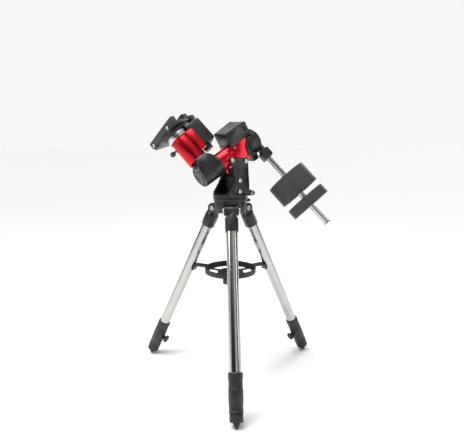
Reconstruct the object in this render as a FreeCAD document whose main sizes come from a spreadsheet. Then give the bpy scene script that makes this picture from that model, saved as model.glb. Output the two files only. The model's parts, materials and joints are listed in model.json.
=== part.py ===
import FreeCAD, Part
import math
import os
import re

import Sketcher
from FreeCAD import Placement, Rotation, Vector

# A centre-balanced equatorial mount for a telescope, standing on a three-legged steel tripod.
# The frame has +X to the north (the side that the polar axis rises towards), +Y to the west and +Z up.
# Its origin is on the ground, under the middle of the outline seen from above.
# All sizes are in millimetres and degrees.

doc = FreeCAD.newDocument("equatorial_mount")
sheet = doc.addObject("Spreadsheet::Sheet", "dims")

DIMENSIONS = {
    # Where the tripod's own axis stands in the frame.
    "axis_x": -65.93, "axis_y": 0.0,
    # General fits and walls.
    "fit_gap": 0.05, "part_gap": 0.3, "wall": 2.5,
    # Tripod legs: lean from upright, pivot place, and distances down the leg from the pivot.
    "leg_lean": 26.07, "pivot_radius": 59.6, "pivot_level": 607.2,
    "tube_radius": 19.05, "tube_wall": 1.5, "tube_start": 52.0, "tube_end": 560.0,
    "bracket_end": 75.0, "bracket_flats": 44.0, "bracket_shoulder": 28.0, "tongue_width": 34.0,
    "tongue_radius": 17.0,
    "sleeve_start": 517.0, "sleeve_end": 633.0, "sleeve_radius": 23.0, "sleeve_waist": 21.6,
    "inner_radius": 15.875, "inner_wall": 1.2, "inner_start": 165.0, "inner_end": 650.0,
    "foot_start": 633.6, "foot_shoulder": 657.0, "foot_tip": 674.75, "foot_radius": 21.0, "tip_radius": 4.0,
    "clamp_level": 583.0, "clamp_boss": 9.0, "clamp_reach": 31.0, "knob_lobe": 5.0, "knob_round": 11.0,
    "knob_depth": 11.0, "clamp_screw": 3.0,
    # Tripod head.
    "hub_radius": 57.0, "hub_base": 596.0, "hub_top": 636.7, "ear_outer": 25.2, "ear_inner": 17.3,
    "ear_round": 17.5, "bolt_radius": 4.0, "bolt_head": 8.5, "bolt_head_depth": 5.0,
    # Spreader tray, its threaded rod and knob.
    "rod_radius": 5.0, "rod_low": 278.0, "rod_high": 650.0,
    "tray_level": 376.0, "tray_rim": 91.0, "tray_rim_inner": 80.0, "tray_rim_height": 18.0,
    "tray_floor": 3.0, "tray_disc": 46.0, "tray_boss": 15.0, "arm_width": 22.0, "arm_thick": 8.0,
    "arm_level": 382.0, "arm_reach": 142.0, "pad_along": 232.0, "pad_height": 26.0,
    "spread_knob_radius": 28.0, "spread_knob_depth": 20.0, "tray_boss_low": 352.0,
    # Azimuth base: the turning ring, the column between the cheeks and the adjuster lugs.
    "ring_radius": 61.0, "ring_low": 637.0, "ring_groove": 646.0, "ring_top": 661.0,
    "column_south": -2.0, "column_north": 44.0, "column_top": 718.0, "fork_half": 39.0,
    "peg_radius": 4.0, "peg_place": 68.0, "peg_top": 669.0, "adjuster_level": 660.0,
    "lug_inner": 13.0, "lug_outer": 24.0, "screw_knob": 9.0,
    # Cheeks of the fork.
    "cheek_thick": 9.0, "cheek_top": 785.0,
    # Polar axis: its latitude, height, and stations along it counted from above the tripod axis.
    "latitude": 30.2, "axis_level": 792.0, "trunnion": -27.8,
    "housing_south": -57.4, "housing_block": -4.0, "housing_north": 61.7, "housing_radius": 34.5,
    "housing_half": 38.4, "housing_low": -36.0, "housing_high": 35.7, "shaft_radius": 20.0,
    "shaft_bore": 14.0, "bearing_radius": 27.0, "bearing_width": 12.0,
    "case_south": 62.0, "case_north": 90.0, "case_radius": 48.0, "case_cavity": 44.5,
    "wheel_radius": 41.0, "wheel_south": 70.0, "wheel_north": 82.0, "wheel_width": 12.0, "wheel_teeth": 144.0,
    "hub_south": 94.4, "hub_north": 114.0, "axis_hub_radius": 41.0,
    # Drive boxes: the polar one sits above the polar housing.
    "box_south": -2.5, "box_north": 88.0, "box_half": 38.5, "box_low": 36.0, "box_high": 85.5,
    "box_flare": 17.0,
    "motor_side": 35.0, "worm_radius": 5.5, "worm_shaft": 4.0, "pulley_small": 6.0,
    "pulley_large": 8.0, "worm_height": 47.0, "worm_station": 76.0, "lug_near": 20.0, "lug_far": 26.0,
    # Counterweights: the shaft leaves the polar axis at this station, turned from the meridian.
    "hour_angle": 33.2, "weight_station": 108.0, "holder_root": 38.0, "holder_step": 52.0,
    "holder_end": 89.0, "holder_half": 17.0, "bar_radius": 11.0, "bar_start": 60.0, "bar_end": 391.0,
    "weight_radius": 75.0, "large_start": 178.3, "large_end": 255.1, "small_start": 277.0,
    "small_end": 313.2,
    # Declination axis: its station on the polar axis and stations along it from the polar axis.
    "dec_station": -105.0, "head_south": 33.0, "head_north": -47.0, "head_radius": 38.0,
    "head_half": 36.0, "head_low": -12.0, "head_high": 49.7,
    "dec_low": 50.0, "dec_high": 148.0, "dec_radius": 36.0, "dec_shaft_radius": 15.0,
    "dec_case_low": 148.0, "dec_case_high": 168.0, "dec_case_radius": 40.0, "dec_wheel_radius": 35.5,
    "dec_wheel_low": 150.0, "dec_worm_level": 156.0, "dec_worm_reach": 41.5, "dec_box_low": 77.0,
    "dec_box_high": 168.0, "dec_box_near": 44.3, "dec_box_far": 88.0,
    "dec_head_low": 168.4, "dec_head_high": 182.0, "dec_head_radius": 47.0,
    # Saddle, turned about the declination axis.
    "saddle_turn": 32.0, "saddle_low": -82.0, "saddle_high": 56.0, "saddle_half": 42.0,
    "saddle_floor": 194.0, "saddle_top": 212.0, "dovetail": 22.0,
}

for row, (alias, size) in enumerate(DIMENSIONS.items(), 1):
    sheet.set("A%d" % row, alias)
    sheet.set("B%d" % row, str(size))
    sheet.setAlias("B%d" % row, alias)
doc.recompute()

PIECES = []


# ---------------------------------------------------------------- helpers

def size_of(alias):
    """A driving dimension as a number, for places worked out in code."""
    return DIMENSIONS[alias]


def bound(text):
    """An expression in which every alias points at its cell of the sheet."""
    def cell(word):
        return "dims." + word[0] if word[0] in DIMENSIONS else word[0]
    return re.sub(r"[a-z][a-z_]*", cell, str(text))


def bind(thing, **sizes):
    """Tie an object's properties to the sheet."""
    for name, text in sizes.items():
        thing.setExpression(name, bound(text))


def stand(thing, at, along="z"):
    """Put a primitive at a place of three expressions, with its own Z along x, y or z."""
    direction = {"x": Vector(1, 0, 0), "y": Vector(0, 1, 0), "z": Vector(0, 0, 1)}[along]
    thing.Placement = Placement(Vector(), Rotation(Vector(0, 0, 1), direction))
    for axis, text in zip("xyz", at):
        thing.setExpression("Placement.Base." + axis, bound(text))
    return thing


def cylinder(name, radius, height, at=(0, 0, 0), along="z"):
    rod = doc.addObject("Part::Cylinder", name)
    bind(rod, Radius=radius, Height=height)
    return stand(rod, at, along)


def cone(name, low_radius, high_radius, height, at=(0, 0, 0), along="z"):
    taper = doc.addObject("Part::Cone", name)
    bind(taper, Radius1=low_radius, Radius2=high_radius, Height=height)
    return stand(taper, at, along)


def box(name, low, high):
    """A box between two corners, each of three expressions."""
    block = doc.addObject("Part::Box", name)
    spans = ["(%s) - (%s)" % (b, a) for a, b in zip(low, high)]
    bind(block, Length=spans[0], Width=spans[1], Height=spans[2])
    return stand(block, low)


def prism(name, sides, flats, height, at=(0, 0, 0), along="z"):
    """A regular prism of even sides, given its width across flats."""
    bar = doc.addObject("Part::Prism", name)
    bar.Polygon = sides
    bind(bar, Circumradius="(%s) / 2 / cos(180 deg / %d)" % (flats, sides), Height=height)
    stand(bar, at, along)
    half_side = Rotation(Vector(0, 0, 1), 180.0 / sides)
    bar.Placement = Placement(bar.Placement.Base, bar.Placement.Rotation.multiply(half_side))
    return bar


def put(thing, frame):
    """Set a primitive that is already placed into a further frame."""
    doc.recompute([thing])
    thing.setExpression("Placement.Base.x", None)
    thing.setExpression("Placement.Base.y", None)
    thing.setExpression("Placement.Base.z", None)
    thing.Placement = frame.multiply(thing.Placement)
    return thing


def fuse(name, parts):
    joined = doc.addObject("Part::MultiFuse", name)
    joined.Shapes = parts
    joined.Refine = True
    return joined


def group(name, parts):
    """Separate solids that share one node."""
    bundle = doc.addObject("Part::Compound", name)
    bundle.Links = parts
    return bundle


def cut(name, base, tools):
    tool = tools[0] if len(tools) == 1 else fuse(name + "_tools", tools)
    result = doc.addObject("Part::Cut", name)
    result.Base = base
    result.Tool = tool
    result.Refine = True
    return result


def origin_plane(body, role):
    for feature in body.Origin.OriginFeatures:
        if feature.Role == role:
            return feature


def sketch_in(body, name, role, level=0):
    sketch = body.newObject("Sketcher::SketchObject", name)
    sketch.AttachmentSupport = [(origin_plane(body, role), "")]
    sketch.MapMode = "FlatFace"
    sketch.setExpression("AttachmentOffset.Base.z", bound(level))
    return sketch


def outline(sketch, points):
    """A closed polygon whose corners are held at expressions."""
    count = len(points)
    first = sketch.GeometryCount
    for i in range(count):
        start = Vector(i, i * i, 0)
        end = Vector((i + 1) % count, ((i + 1) % count) ** 2, 0)
        sketch.addGeometry(Part.LineSegment(start, end), False)
    for i in range(count):
        sketch.addConstraint(Sketcher.Constraint("Coincident", first + i, 2, first + (i + 1) % count, 1))
    for i, (across, up) in enumerate(points):
        for kind, text in (("DistanceX", across), ("DistanceY", up)):
            index = sketch.addConstraint(Sketcher.Constraint(kind, -1, 1, first + i, 1, 1.0))
            sketch.setExpression("Constraints[%d]" % index, bound(text))


def ring_in(sketch, radius, at=(0, 0)):
    """A circle held at a radius and a centre."""
    index = sketch.addGeometry(Part.Circle(Vector(1, 1, 0), Vector(0, 0, 1), 1.0), False)
    round_ = sketch.addConstraint(Sketcher.Constraint("Radius", index, 1.0))
    sketch.setExpression("Constraints[%d]" % round_, bound(radius))
    for kind, text in (("DistanceX", at[0]), ("DistanceY", at[1])):
        held = sketch.addConstraint(Sketcher.Constraint(kind, -1, 1, index, 3, 1.0))
        sketch.setExpression("Constraints[%d]" % held, bound(text))


def new_body(name):
    return doc.addObject("PartDesign::Body", name)


def add_revolution(body, name, profile):
    """Turn a profile of (radius, height) corners about the body's Z axis."""
    sketch = sketch_in(body, name + "_profile", "XZ_Plane")
    outline(sketch, profile)
    turned = body.newObject("PartDesign::Revolution", name)
    turned.Profile = sketch
    turned.ReferenceAxis = (sketch, ["V_Axis"])
    turned.Angle = 360.0
    return turned


def add_pad(body, name, role, draw, level, length):
    """Pad whatever draw() puts in a sketch, from a level along the plane's normal."""
    sketch = sketch_in(body, name + "_sketch", role, level)
    draw(sketch)
    pad = body.newObject("PartDesign::Pad", name)
    pad.Profile = sketch
    bind(pad, Length=length)
    return pad


def add_pocket(body, name, role, draw, level, length):
    """Cut along the plane's normal, from a level."""
    sketch = sketch_in(body, name + "_sketch", role, level)
    draw(sketch)
    pocket = body.newObject("PartDesign::Pocket", name)
    pocket.Profile = sketch
    pocket.Reversed = True
    bind(pocket, Length=length)
    return pocket


def revolved(name, profile):
    body = new_body(name)
    add_revolution(body, name + "_turned", profile)
    return body


def tube(name, outer, inner, start, end, along="z"):
    """A plain tube between two stations on one of its frame's axes."""
    place = {"x": (start, 0, 0), "y": (0, start, 0), "z": (0, 0, start)}[along]
    length = "(%s) - (%s)" % (end, start)
    outside = cylinder(name + "_outside", outer, length, place, along)
    inside = cylinder(name + "_bore", inner, length, place, along)
    return cut(name, outside, [inside])


def keep(label, thing, frame):
    """Name a finished sub-part and put it in the mount's frame."""
    thing.Label = label
    thing.Placement = MOUNT.multiply(frame)
    PIECES.append(thing)
    return thing


# ---------------------------------------------------------------- frames

def frame_of(origin, x_axis, y_axis, z_axis):
    return Placement(origin, Rotation(x_axis, y_axis, z_axis, "ZXY"))


def leg_frame(azimuth):
    """Z runs down the leg from its pivot, Y across it, X towards the tripod's axis."""
    lean = math.radians(size_of("leg_lean"))
    out = Vector(math.cos(azimuth), math.sin(azimuth), 0)
    across = Vector(-math.sin(azimuth), math.cos(azimuth), 0)
    down = out * math.sin(lean) - Vector(0, 0, math.cos(lean))
    pivot = out * size_of("pivot_radius") + Vector(0, 0, size_of("pivot_level"))
    return frame_of(pivot, across.cross(down), across, down)


def polar_frame():
    """Z runs north up the polar axis, X up from it, Y east."""
    tilt = math.radians(size_of("latitude"))
    along = Vector(math.cos(tilt), 0, math.sin(tilt))
    up = Vector(-math.sin(tilt), 0, math.cos(tilt))
    return frame_of(Vector(0, 0, size_of("axis_level")), up, Vector(0, -1, 0), along)


def weight_frame():
    """Z runs down the counterweight bar, X north along the polar axis."""
    turn = Rotation(Vector(0, 0, 1), 180.0 - size_of("hour_angle"))
    station = Placement(Vector(0, 0, size_of("weight_station")), turn)
    lie = Placement(Vector(), Rotation(Vector(0, 0, 1), Vector(0, -1, 0), Vector(1, 0, 0), "ZXY"))
    return POLAR.multiply(station).multiply(lie)


def declination_frame():
    """Z runs up the declination axis to the saddle, X south along the polar axis."""
    flip = Placement(Vector(), Rotation(Vector(0, 1, 0), 180))
    to_station = Placement(Vector(size_of("dec_station") - size_of("weight_station"), 0, 0), Rotation())
    return WEIGHTS.multiply(to_station).multiply(flip)


LEG_AZIMUTHS = {"north": 0.0, "east": math.radians(240), "west": math.radians(120)}
STILL = Placement()
MOUNT = Placement(Vector(size_of("axis_x"), size_of("axis_y"), 0), Rotation())
LEGS = {side: leg_frame(azimuth) for side, azimuth in LEG_AZIMUTHS.items()}
POLAR = polar_frame()
WEIGHTS = weight_frame()
DEC = declination_frame()
SADDLE = DEC.multiply(Placement(Vector(), Rotation(Vector(0, 0, 1), size_of("saddle_turn"))))


def around(azimuth):
    """A frame turned about the tripod's axis."""
    return Placement(Vector(), Rotation(Vector(0, 0, 1), math.degrees(azimuth)))


# ---------------------------------------------------------------- tripod

def tripod_hub():
    """The cast tripod head: a drum, a pair of rounded ears for each leg, and the azimuth peg."""
    drum = cylinder("hub_drum", "hub_radius", "hub_top - hub_base", (0, 0, "hub_base"))
    peg_lug = box("hub_peg_lug", ("hub_radius - 12", -12, "hub_top - 10"),
                  ("peg_place + 9", 12, "hub_top"))
    solids = [drum, peg_lug]
    slots = []
    for side, azimuth in LEG_AZIMUTHS.items():
        ear_round = cylinder("hub_ear_" + side, "ear_round", "2 * ear_outer",
                             ("pivot_radius", "-ear_outer", "pivot_level"), "y")
        ear_root = box("hub_ear_root_" + side, (30, "-ear_outer", "pivot_level - ear_round"),
                       ("pivot_radius", "ear_outer", "pivot_level + ear_round"))
        slot = box("hub_slot_" + side, ("pivot_radius - 20", "-ear_inner", "pivot_level - 35"),
                   ("pivot_radius + 30", "ear_inner", "pivot_level + 19"))
        bolt = cylinder("hub_bolt_hole_" + side, "bolt_radius + fit_gap", "3 * ear_outer",
                        ("pivot_radius", "-1.5 * ear_outer", "pivot_level"), "y")
        solids += [put(ear_round, around(azimuth)), put(ear_root, around(azimuth))]
        slots += [put(slot, around(azimuth)), put(bolt, around(azimuth))]
    slots.append(cylinder("hub_rod_hole", "rod_radius", "hub_top", (0, 0, 0)))
    casting = cut("hub_casting", fuse("hub_solid", solids), slots)
    peg = cylinder("hub_peg", "peg_radius", "peg_top - hub_top + 5", ("peg_place", 0, "hub_top - 5"))
    keep("tripod_hub", fuse("hub_finished", [casting, peg]), STILL)


def leg_pivot_bolts():
    """One hexagon-socket bolt through each pair of ears, with its nut, as one group."""
    bolts = []
    for side, azimuth in LEG_AZIMUTHS.items():
        shank = cylinder("pivot_shank_" + side, "bolt_radius", "2 * ear_outer + 2 * bolt_head_depth",
                         ("pivot_radius", "-ear_outer - bolt_head_depth", "pivot_level"), "y")
        head = cylinder("pivot_head_" + side, "bolt_head", "bolt_head_depth",
                        ("pivot_radius", "-ear_outer - bolt_head_depth", "pivot_level"), "y")
        nut = cylinder("pivot_nut_" + side, "bolt_head", "bolt_head_depth",
                       ("pivot_radius", "ear_outer", "pivot_level"), "y")
        socket = prism("pivot_socket_" + side, 6, 8, 3,
                       ("pivot_radius", "-ear_outer - bolt_head_depth", "pivot_level"), "y")
        bolt = cut("pivot_bolt_" + side, fuse("pivot_solid_" + side, [shank, head, nut]), [socket])
        bolt.Placement = around(azimuth)
        bolts.append(bolt)
    keep("leg_pivot_bolts", group("pivot_bolt_group", bolts), STILL)


def leg_bracket(side):
    """The cast top of a leg: a rounded tongue at the pivot and an eight-sided socket for the tube."""
    name = "bracket_" + side
    tongue = cylinder(name + "_tongue", "tongue_radius", "tongue_width", (0, "-tongue_width / 2", 0), "y")
    neck = box(name + "_neck", ("-tongue_radius", "-tongue_width / 2", 0),
               ("tongue_radius", "tongue_width / 2", "bracket_shoulder"))
    socket = prism(name + "_socket", 8, "bracket_flats", "bracket_end - bracket_shoulder",
                   (0, 0, "bracket_shoulder"))
    shoulder = cone(name + "_shoulder", "tongue_radius", "bracket_flats / 2", 10,
                    (0, 0, "bracket_shoulder - 10"))
    bore = cylinder(name + "_bore", "tube_radius", "tube_end", (0, 0, "tube_start"))
    bolt = cylinder(name + "_bolt", "bolt_radius + fit_gap", "2 * tongue_width",
                    (0, "-tongue_width", 0), "y")
    casting = fuse(name + "_solid", [tongue, neck, socket, shoulder])
    keep("leg_bracket_" + side, cut(name + "_finished", casting, [bore, bolt]), LEGS[side])


def leg_tube(side):
    """The polished steel upper tube of a leg, with the moulded sleeve fixed on its lower end."""
    steel = tube("leg_tube_%s_steel" % side, "tube_radius", "tube_radius - tube_wall", "tube_start",
                 "tube_end")
    keep("leg_tube_" + side, group("leg_tube_%s_group" % side, [steel, leg_sleeve(side)]), LEGS[side])


def leg_sleeve(side):
    """The sleeve: a socket for the tube, a bore for the extension and a boss for the clamp screw."""
    name = "sleeve_" + side
    body = new_body(name)
    add_revolution(body, name + "_turned", [
        (0, "sleeve_start"), ("sleeve_radius", "sleeve_start"), ("sleeve_radius", "clamp_level + 12"),
        ("sleeve_waist", "sleeve_end"), (0, "sleeve_end")])
    add_pad(body, name + "_boss", "YZ_Plane",
            lambda sketch: ring_in(sketch, "clamp_boss", (0, "clamp_level")), 0, "clamp_reach - 4")
    add_pocket(body, name + "_socket", "XY_Plane",
               lambda sketch: ring_in(sketch, "tube_radius"), "sleeve_start", "tube_end - sleeve_start")
    add_pocket(body, name + "_bore", "XY_Plane",
               lambda sketch: ring_in(sketch, "inner_radius + fit_gap"), "tube_end",
               "sleeve_end - tube_end")
    add_pocket(body, name + "_screw_hole", "YZ_Plane",
               lambda sketch: ring_in(sketch, "clamp_screw + fit_gap", (0, "clamp_level")),
               "inner_radius - 4", "clamp_reach")
    return body


def leg_extension(side):
    """The narrower tube that slides out of the sleeve, with the foot pressed on its end."""
    steel = tube("extension_%s_steel" % side, "inner_radius", "inner_radius - inner_wall", "inner_start",
                 "inner_end")
    keep("leg_extension_" + side, group("extension_%s_group" % side, [steel, leg_foot(side)]), LEGS[side])


def leg_foot(side):
    """The foot: a collar round the extension, a neck and a blunt cone."""
    return revolved("foot_" + side, [
        ("inner_radius", "foot_start"), ("foot_radius", "foot_start"),
        ("foot_radius", "foot_shoulder - 2"), ("foot_radius - 2", "foot_shoulder"),
        ("foot_radius / 2", "foot_shoulder"), ("foot_radius / 2", "foot_shoulder + 4"),
        ("tip_radius", "foot_tip - 1"), ("tip_radius - 1.5", "foot_tip"), (0, "foot_tip"),
        (0, "inner_end"), ("inner_radius", "inner_end")])


def clamp_knob(side):
    """The leg clamp: a five-lobed knob on a screw that presses on the extension."""
    name = "clamp_" + side
    screw = cylinder(name + "_screw", "clamp_screw", "clamp_reach - inner_radius - part_gap",
                     ("inner_radius + part_gap", 0, "clamp_level"), "x")
    core = cylinder(name + "_core", "knob_round", "knob_depth", ("clamp_reach", 0, "clamp_level"), "x")
    collar = cone(name + "_collar", 6, "knob_round", 3, ("clamp_reach - 3", 0, "clamp_level"), "x")
    lobes = []
    for i in range(5):
        turn = math.radians(72 * i)
        lobes.append(cylinder("%s_lobe_%d" % (name, i), "knob_lobe", "knob_depth", (
            "clamp_reach", "(knob_round - 1) * %.6f" % math.sin(turn),
            "clamp_level + (knob_round - 1) * %.6f" % math.cos(turn)), "x"))
    keep("leg_clamp_knob_" + side, fuse(name + "_solid", [screw, core, collar] + lobes), LEGS[side])


def spreader_rod():
    """The threaded rod through the hub that holds the mount down and carries the spreader."""
    rod = cylinder("rod_shank", "rod_radius", "rod_high - rod_low", (0, 0, "rod_low"))
    stop = cylinder("rod_stop", "rod_radius + 2", 4, (0, 0, "rod_low"))
    flange = cylinder("rod_flange", "rod_radius + 8", 5, (0, 0, "hub_base - 5"))
    keep("spreader_rod", fuse("rod_solid", [rod, stop, flange]), STILL)


def spreader_tray():
    """The three-armed tray: a rim, a low disc with windows round it, and a pad that bears on each leg."""
    rim = cylinder("tray_rim_outside", "tray_rim", "tray_rim_height", (0, 0, "tray_level"))
    dish = cylinder("tray_dish", "tray_rim - 4", "tray_rim_height", (0, 0, "tray_level + tray_floor"))
    windows = cut("tray_window_ring",
                  cylinder("tray_window_outside", "tray_rim_inner - 2", 20, (0, 0, "tray_level - 5")),
                  [cylinder("tray_window_inside", "tray_disc", 30, (0, 0, "tray_level - 8"))])
    floor = cut("tray_cut", rim, [dish, windows])
    boss = cylinder("tray_boss_drum", "tray_boss", "tray_level - tray_boss_low + 10",
                    (0, 0, "tray_boss_low"))
    solids = [floor, boss]
    for i in range(6):
        spoke = box("tray_spoke_%d" % i, (10, -7, "tray_level"),
                    ("tray_rim - 6", 7, "tray_level + tray_floor"))
        solids.append(put(spoke, around(math.radians(60 * i))))
    for side, azimuth in LEG_AZIMUTHS.items():
        arm = box("tray_arm_" + side, ("tray_rim - 3", "-arm_width / 2", "arm_level"),
                  ("arm_reach", "arm_width / 2", "arm_level + arm_thick"))
        pad = box("tray_pad_" + side,
                  ("tube_radius + part_gap", "-arm_width / 2 - 3", "pad_along"),
                  ("tube_radius + 6", "arm_width / 2 + 3", "pad_along + pad_height"))
        solids += [put(arm, around(azimuth)), put(pad, LEGS[side])]
    bore = cylinder("tray_bore", "rod_radius + part_gap", 60, (0, 0, "tray_boss_low - 5"))
    keep("spreader_tray", cut("tray_finished", fuse("tray_solid", solids), [bore]), STILL)


def spreader_knob():
    """The six-lobed nut under the tray."""
    low = "tray_boss_low - spread_knob_depth - part_gap"
    drum = cylinder("spread_knob_drum", "spread_knob_radius - 4", "spread_knob_depth", (0, 0, low))
    lobes = []
    for i in range(6):
        turn = math.radians(60 * i + 20)
        lobes.append(cylinder("spread_knob_lobe_%d" % i, 8, "spread_knob_depth", (
            "(spread_knob_radius - 8) * %.6f" % math.cos(turn),
            "(spread_knob_radius - 8) * %.6f" % math.sin(turn), low)))
    bore = cylinder("spread_knob_bore", "rod_radius + fit_gap", 60, (0, 0, low + " - 5"))
    keep("spreader_knob", cut("spread_knob_finished", fuse("spread_knob_solid", [drum] + lobes), [bore]),
         STILL)


# ---------------------------------------------------------------- azimuth base and fork

def azimuth_base():
    """The turning base: a grooved ring, the column between the cheeks and the adjuster lugs."""
    name = "azimuth"
    body = new_body(name)
    add_revolution(body, name + "_ring", [
        (0, "ring_low"), ("ring_radius - 1", "ring_low"), ("ring_radius - 1", "ring_groove"),
        ("ring_radius - 3", "ring_groove + 1.5"), ("ring_radius", "ring_groove + 3"),
        ("ring_radius", "ring_top - 3"), ("ring_radius - 2.5", "ring_top"), (0, "ring_top")])
    add_pad(body, name + "_column", "XY_Plane", lambda sketch: outline(sketch, [
        ("column_south", "-fork_half"), ("column_north", "-fork_half"),
        ("column_north", "fork_half"), ("column_south", "fork_half")]),
        "ring_top - 5", "column_top - ring_top + 5")
    for lug, start in (("east", "-lug_outer"), ("west", "lug_inner")):
        add_pad(body, name + "_lug_" + lug, "XY_Plane", lambda sketch: outline(sketch, [
            ("ring_radius - 22", start), ("peg_place + 8", start),
            ("peg_place + 8", "(%s) + lug_outer - lug_inner" % start),
            ("ring_radius - 22", "(%s) + lug_outer - lug_inner" % start)]),
            "ring_groove + 3.5", 20)
    add_pocket(body, name + "_rod_hole", "XY_Plane",
               lambda sketch: ring_in(sketch, "rod_radius + fit_gap"), "ring_low", "rod_high - ring_low + 8")
    add_pocket(body, name + "_peg_slot", "XY_Plane", lambda sketch: outline(sketch, [
        ("peg_place - 12", "-lug_inner"), ("peg_place + 12", "-lug_inner"),
        ("peg_place + 12", "lug_inner"), ("peg_place - 12", "lug_inner")]),
        "ring_low", "ring_top - ring_low + 10")
    add_pocket(body, name + "_screw_holes", "XZ_Plane",
               lambda sketch: ring_in(sketch, "peg_radius + fit_gap", ("peg_place", "adjuster_level")),
               -60, 120)
    for spot in ("upper", "lower"):
        for side, level in (("east", "fork_half - 14"), ("west", "-fork_half")):
            add_pocket(body, "%s_%s_%s" % (name, spot, side), "XZ_Plane",
                       lambda sketch: ring_in(sketch, "bolt_radius", CHEEK_BOLTS[spot]), level, 14)
    keep("azimuth_base", body, STILL)


def azimuth_screws():
    """The two thumb screws that pinch the upright peg and turn the base against it."""
    tip = "peg_radius + part_gap"
    reach = "lug_outer + 9"
    screws = []
    for side, turn in (("east", 180), ("west", 0)):
        name = "azimuth_screw_" + side
        shank = cylinder(name + "_shank", "peg_radius", "(%s) - (%s)" % (reach, tip),
                         (0, tip, "adjuster_level"), "y")
        head = cylinder(name + "_head", "screw_knob", 9, (0, reach, "adjuster_level"), "y")
        screw = fuse(name, [shank, head])
        screw.Placement = Placement(Vector(size_of("peg_place"), 0, 0), Rotation(Vector(0, 0, 1), turn))
        screws.append(screw)
    keep("azimuth_screws", group("azimuth_screw_group", screws), STILL)


CHEEK_OUTLINE = [
    # South edge upwards, along the top, down the north edge, and along the foot on the ring.
    (-43, "ring_top"), (-30, 680), (-20, 696), (-13, 712), (-11, 735), (-16, 755), (-27, 766),
    (-31, 774), (-31, "cheek_top - 3"), (-28, "cheek_top"), (38, "cheek_top"), (42, "cheek_top - 4"),
    (44, 735), (50, "ring_top")]


def fork_cheeks():
    """The fork's two side plates, each with a trunnion hole, a clamp hole and two fixing holes."""
    plates = []
    for side, start in (("east", "fork_half"), ("west", "-fork_half - cheek_thick")):
        body = new_body("cheek_" + side)
        add_pad(body, "cheek_%s_plate" % side, "XZ_Plane",
                lambda sketch: outline(sketch, CHEEK_OUTLINE), start, "cheek_thick")
        for spot, place in CHEEK_BOLTS.items():
            add_pocket(body, "cheek_%s_%s" % (side, spot), "XZ_Plane",
                       lambda sketch: ring_in(sketch, "bolt_radius", place),
                       start + " - 1", "cheek_thick + 2")
        plates.append(body)
    keep("fork_cheeks", group("fork_cheek_pair", plates), STILL)


def trunnion_place():
    """The altitude axis in the mount's X and Z, on the polar axis below the housing's block."""
    tilt = math.radians(size_of("latitude"))
    station = size_of("trunnion")
    return (station * math.cos(tilt), size_of("axis_level") + station * math.sin(tilt))


CHEEK_BOLTS = {"trunnion": trunnion_place(), "clamp": (31.0, 774.0), "upper": (6.0, 708.0),
               "lower": (6.0, 670.0)}


def fork_bolts():
    """The socket-head bolts of both cheeks: trunnions, altitude clamps and column fixings."""
    reach = {"trunnion": "fork_half - 6", "clamp": "fork_half", "upper": "fork_half - 14",
             "lower": "fork_half - 14"}
    bolts = []
    for spot, (along, level) in CHEEK_BOLTS.items():
        for side, way in (("east", -1), ("west", 1)):
            name = "fork_bolt_%s_%s" % (spot, side)
            face = "fork_half + cheek_thick"
            shank_start = {-1: "-(%s)" % face, 1: reach[spot]}[way]
            head_start = {-1: "-(%s) - 6" % face, 1: face}[way]
            socket_start = {-1: "-(%s) - 6" % face, 1: "(%s) + 3" % face}[way]
            shank = cylinder(name + "_shank", "bolt_radius", "(%s) - (%s)" % (face, reach[spot]),
                             (along, shank_start, level), "y")
            head = cylinder(name + "_head", 7, 6, (along, head_start, level), "y")
            socket = prism(name + "_socket", 6, 6, 3, (along, socket_start, level), "y")
            bolts.append(cut(name, fuse(name + "_solid", [shank, head]), [socket]))
    keep("fork_bolts", group("fork_bolt_group", bolts), STILL)


# ---------------------------------------------------------------- polar axis

def polar_housing():
    """The red polar housing: a tube to the south that grows into a square block to the north."""
    name = "polar_housing"
    body = new_body(name)
    add_pad(body, name + "_tube", "XY_Plane", lambda sketch: ring_in(sketch, "housing_radius"),
            "housing_south", "housing_north - housing_south")
    add_pad(body, name + "_block", "XY_Plane", lambda sketch: outline(sketch, [
        ("housing_low + 6", "-housing_half"), ("housing_high", "-housing_half"),
        ("housing_high", "housing_half"), ("housing_low + 6", "housing_half"),
        ("housing_low", "housing_half - 6"), ("housing_low", "-housing_half + 6")]),
        "housing_block", "housing_north - housing_block")
    add_pad(body, name + "_trunnions", "XZ_Plane", lambda sketch: ring_in(sketch, 12, (0, "trunnion")),
            "-housing_half", "2 * housing_half")
    add_pad(body, name + "_side_boss", "XZ_Plane", lambda sketch: ring_in(sketch, 7, (22, -8)),
            "-housing_radius - 1", "housing_radius")
    add_pad(body, name + "_foot_lug", "XZ_Plane", lambda sketch: outline(sketch, [
        (-42, -50), (-20, -50), (-20, -38), (-42, -38)]), -25, 10)
    add_pocket(body, name + "_bore", "XY_Plane", lambda sketch: ring_in(sketch, "bearing_radius"),
               "housing_south", "housing_north - housing_south")
    for side, level in (("east", "fork_half - 7"), ("west", "-fork_half")):
        add_pocket(body, name + "_bolt_" + side, "XZ_Plane",
                   lambda sketch: ring_in(sketch, "bolt_radius + fit_gap", (0, "trunnion")), level, 7)
    keep("polar_housing", body, POLAR)


def shaft_bearings(name, frame, radius, outer, spans):
    """Plain rings for the two ball bearings of an axis, as one group."""
    rings = [tube("%s_%d" % (name, i), outer, radius + " + fit_gap", start, end)
             for i, (start, end) in enumerate(spans)]
    keep(name, group(name + "_group", rings), frame)


def polar_shaft():
    """The hollow steel shaft of the polar axis."""
    keep("polar_shaft", tube("polar_shaft_made", "shaft_radius", "shaft_bore", "dec_station - 33",
                             "hub_south + 11"), POLAR)


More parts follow.
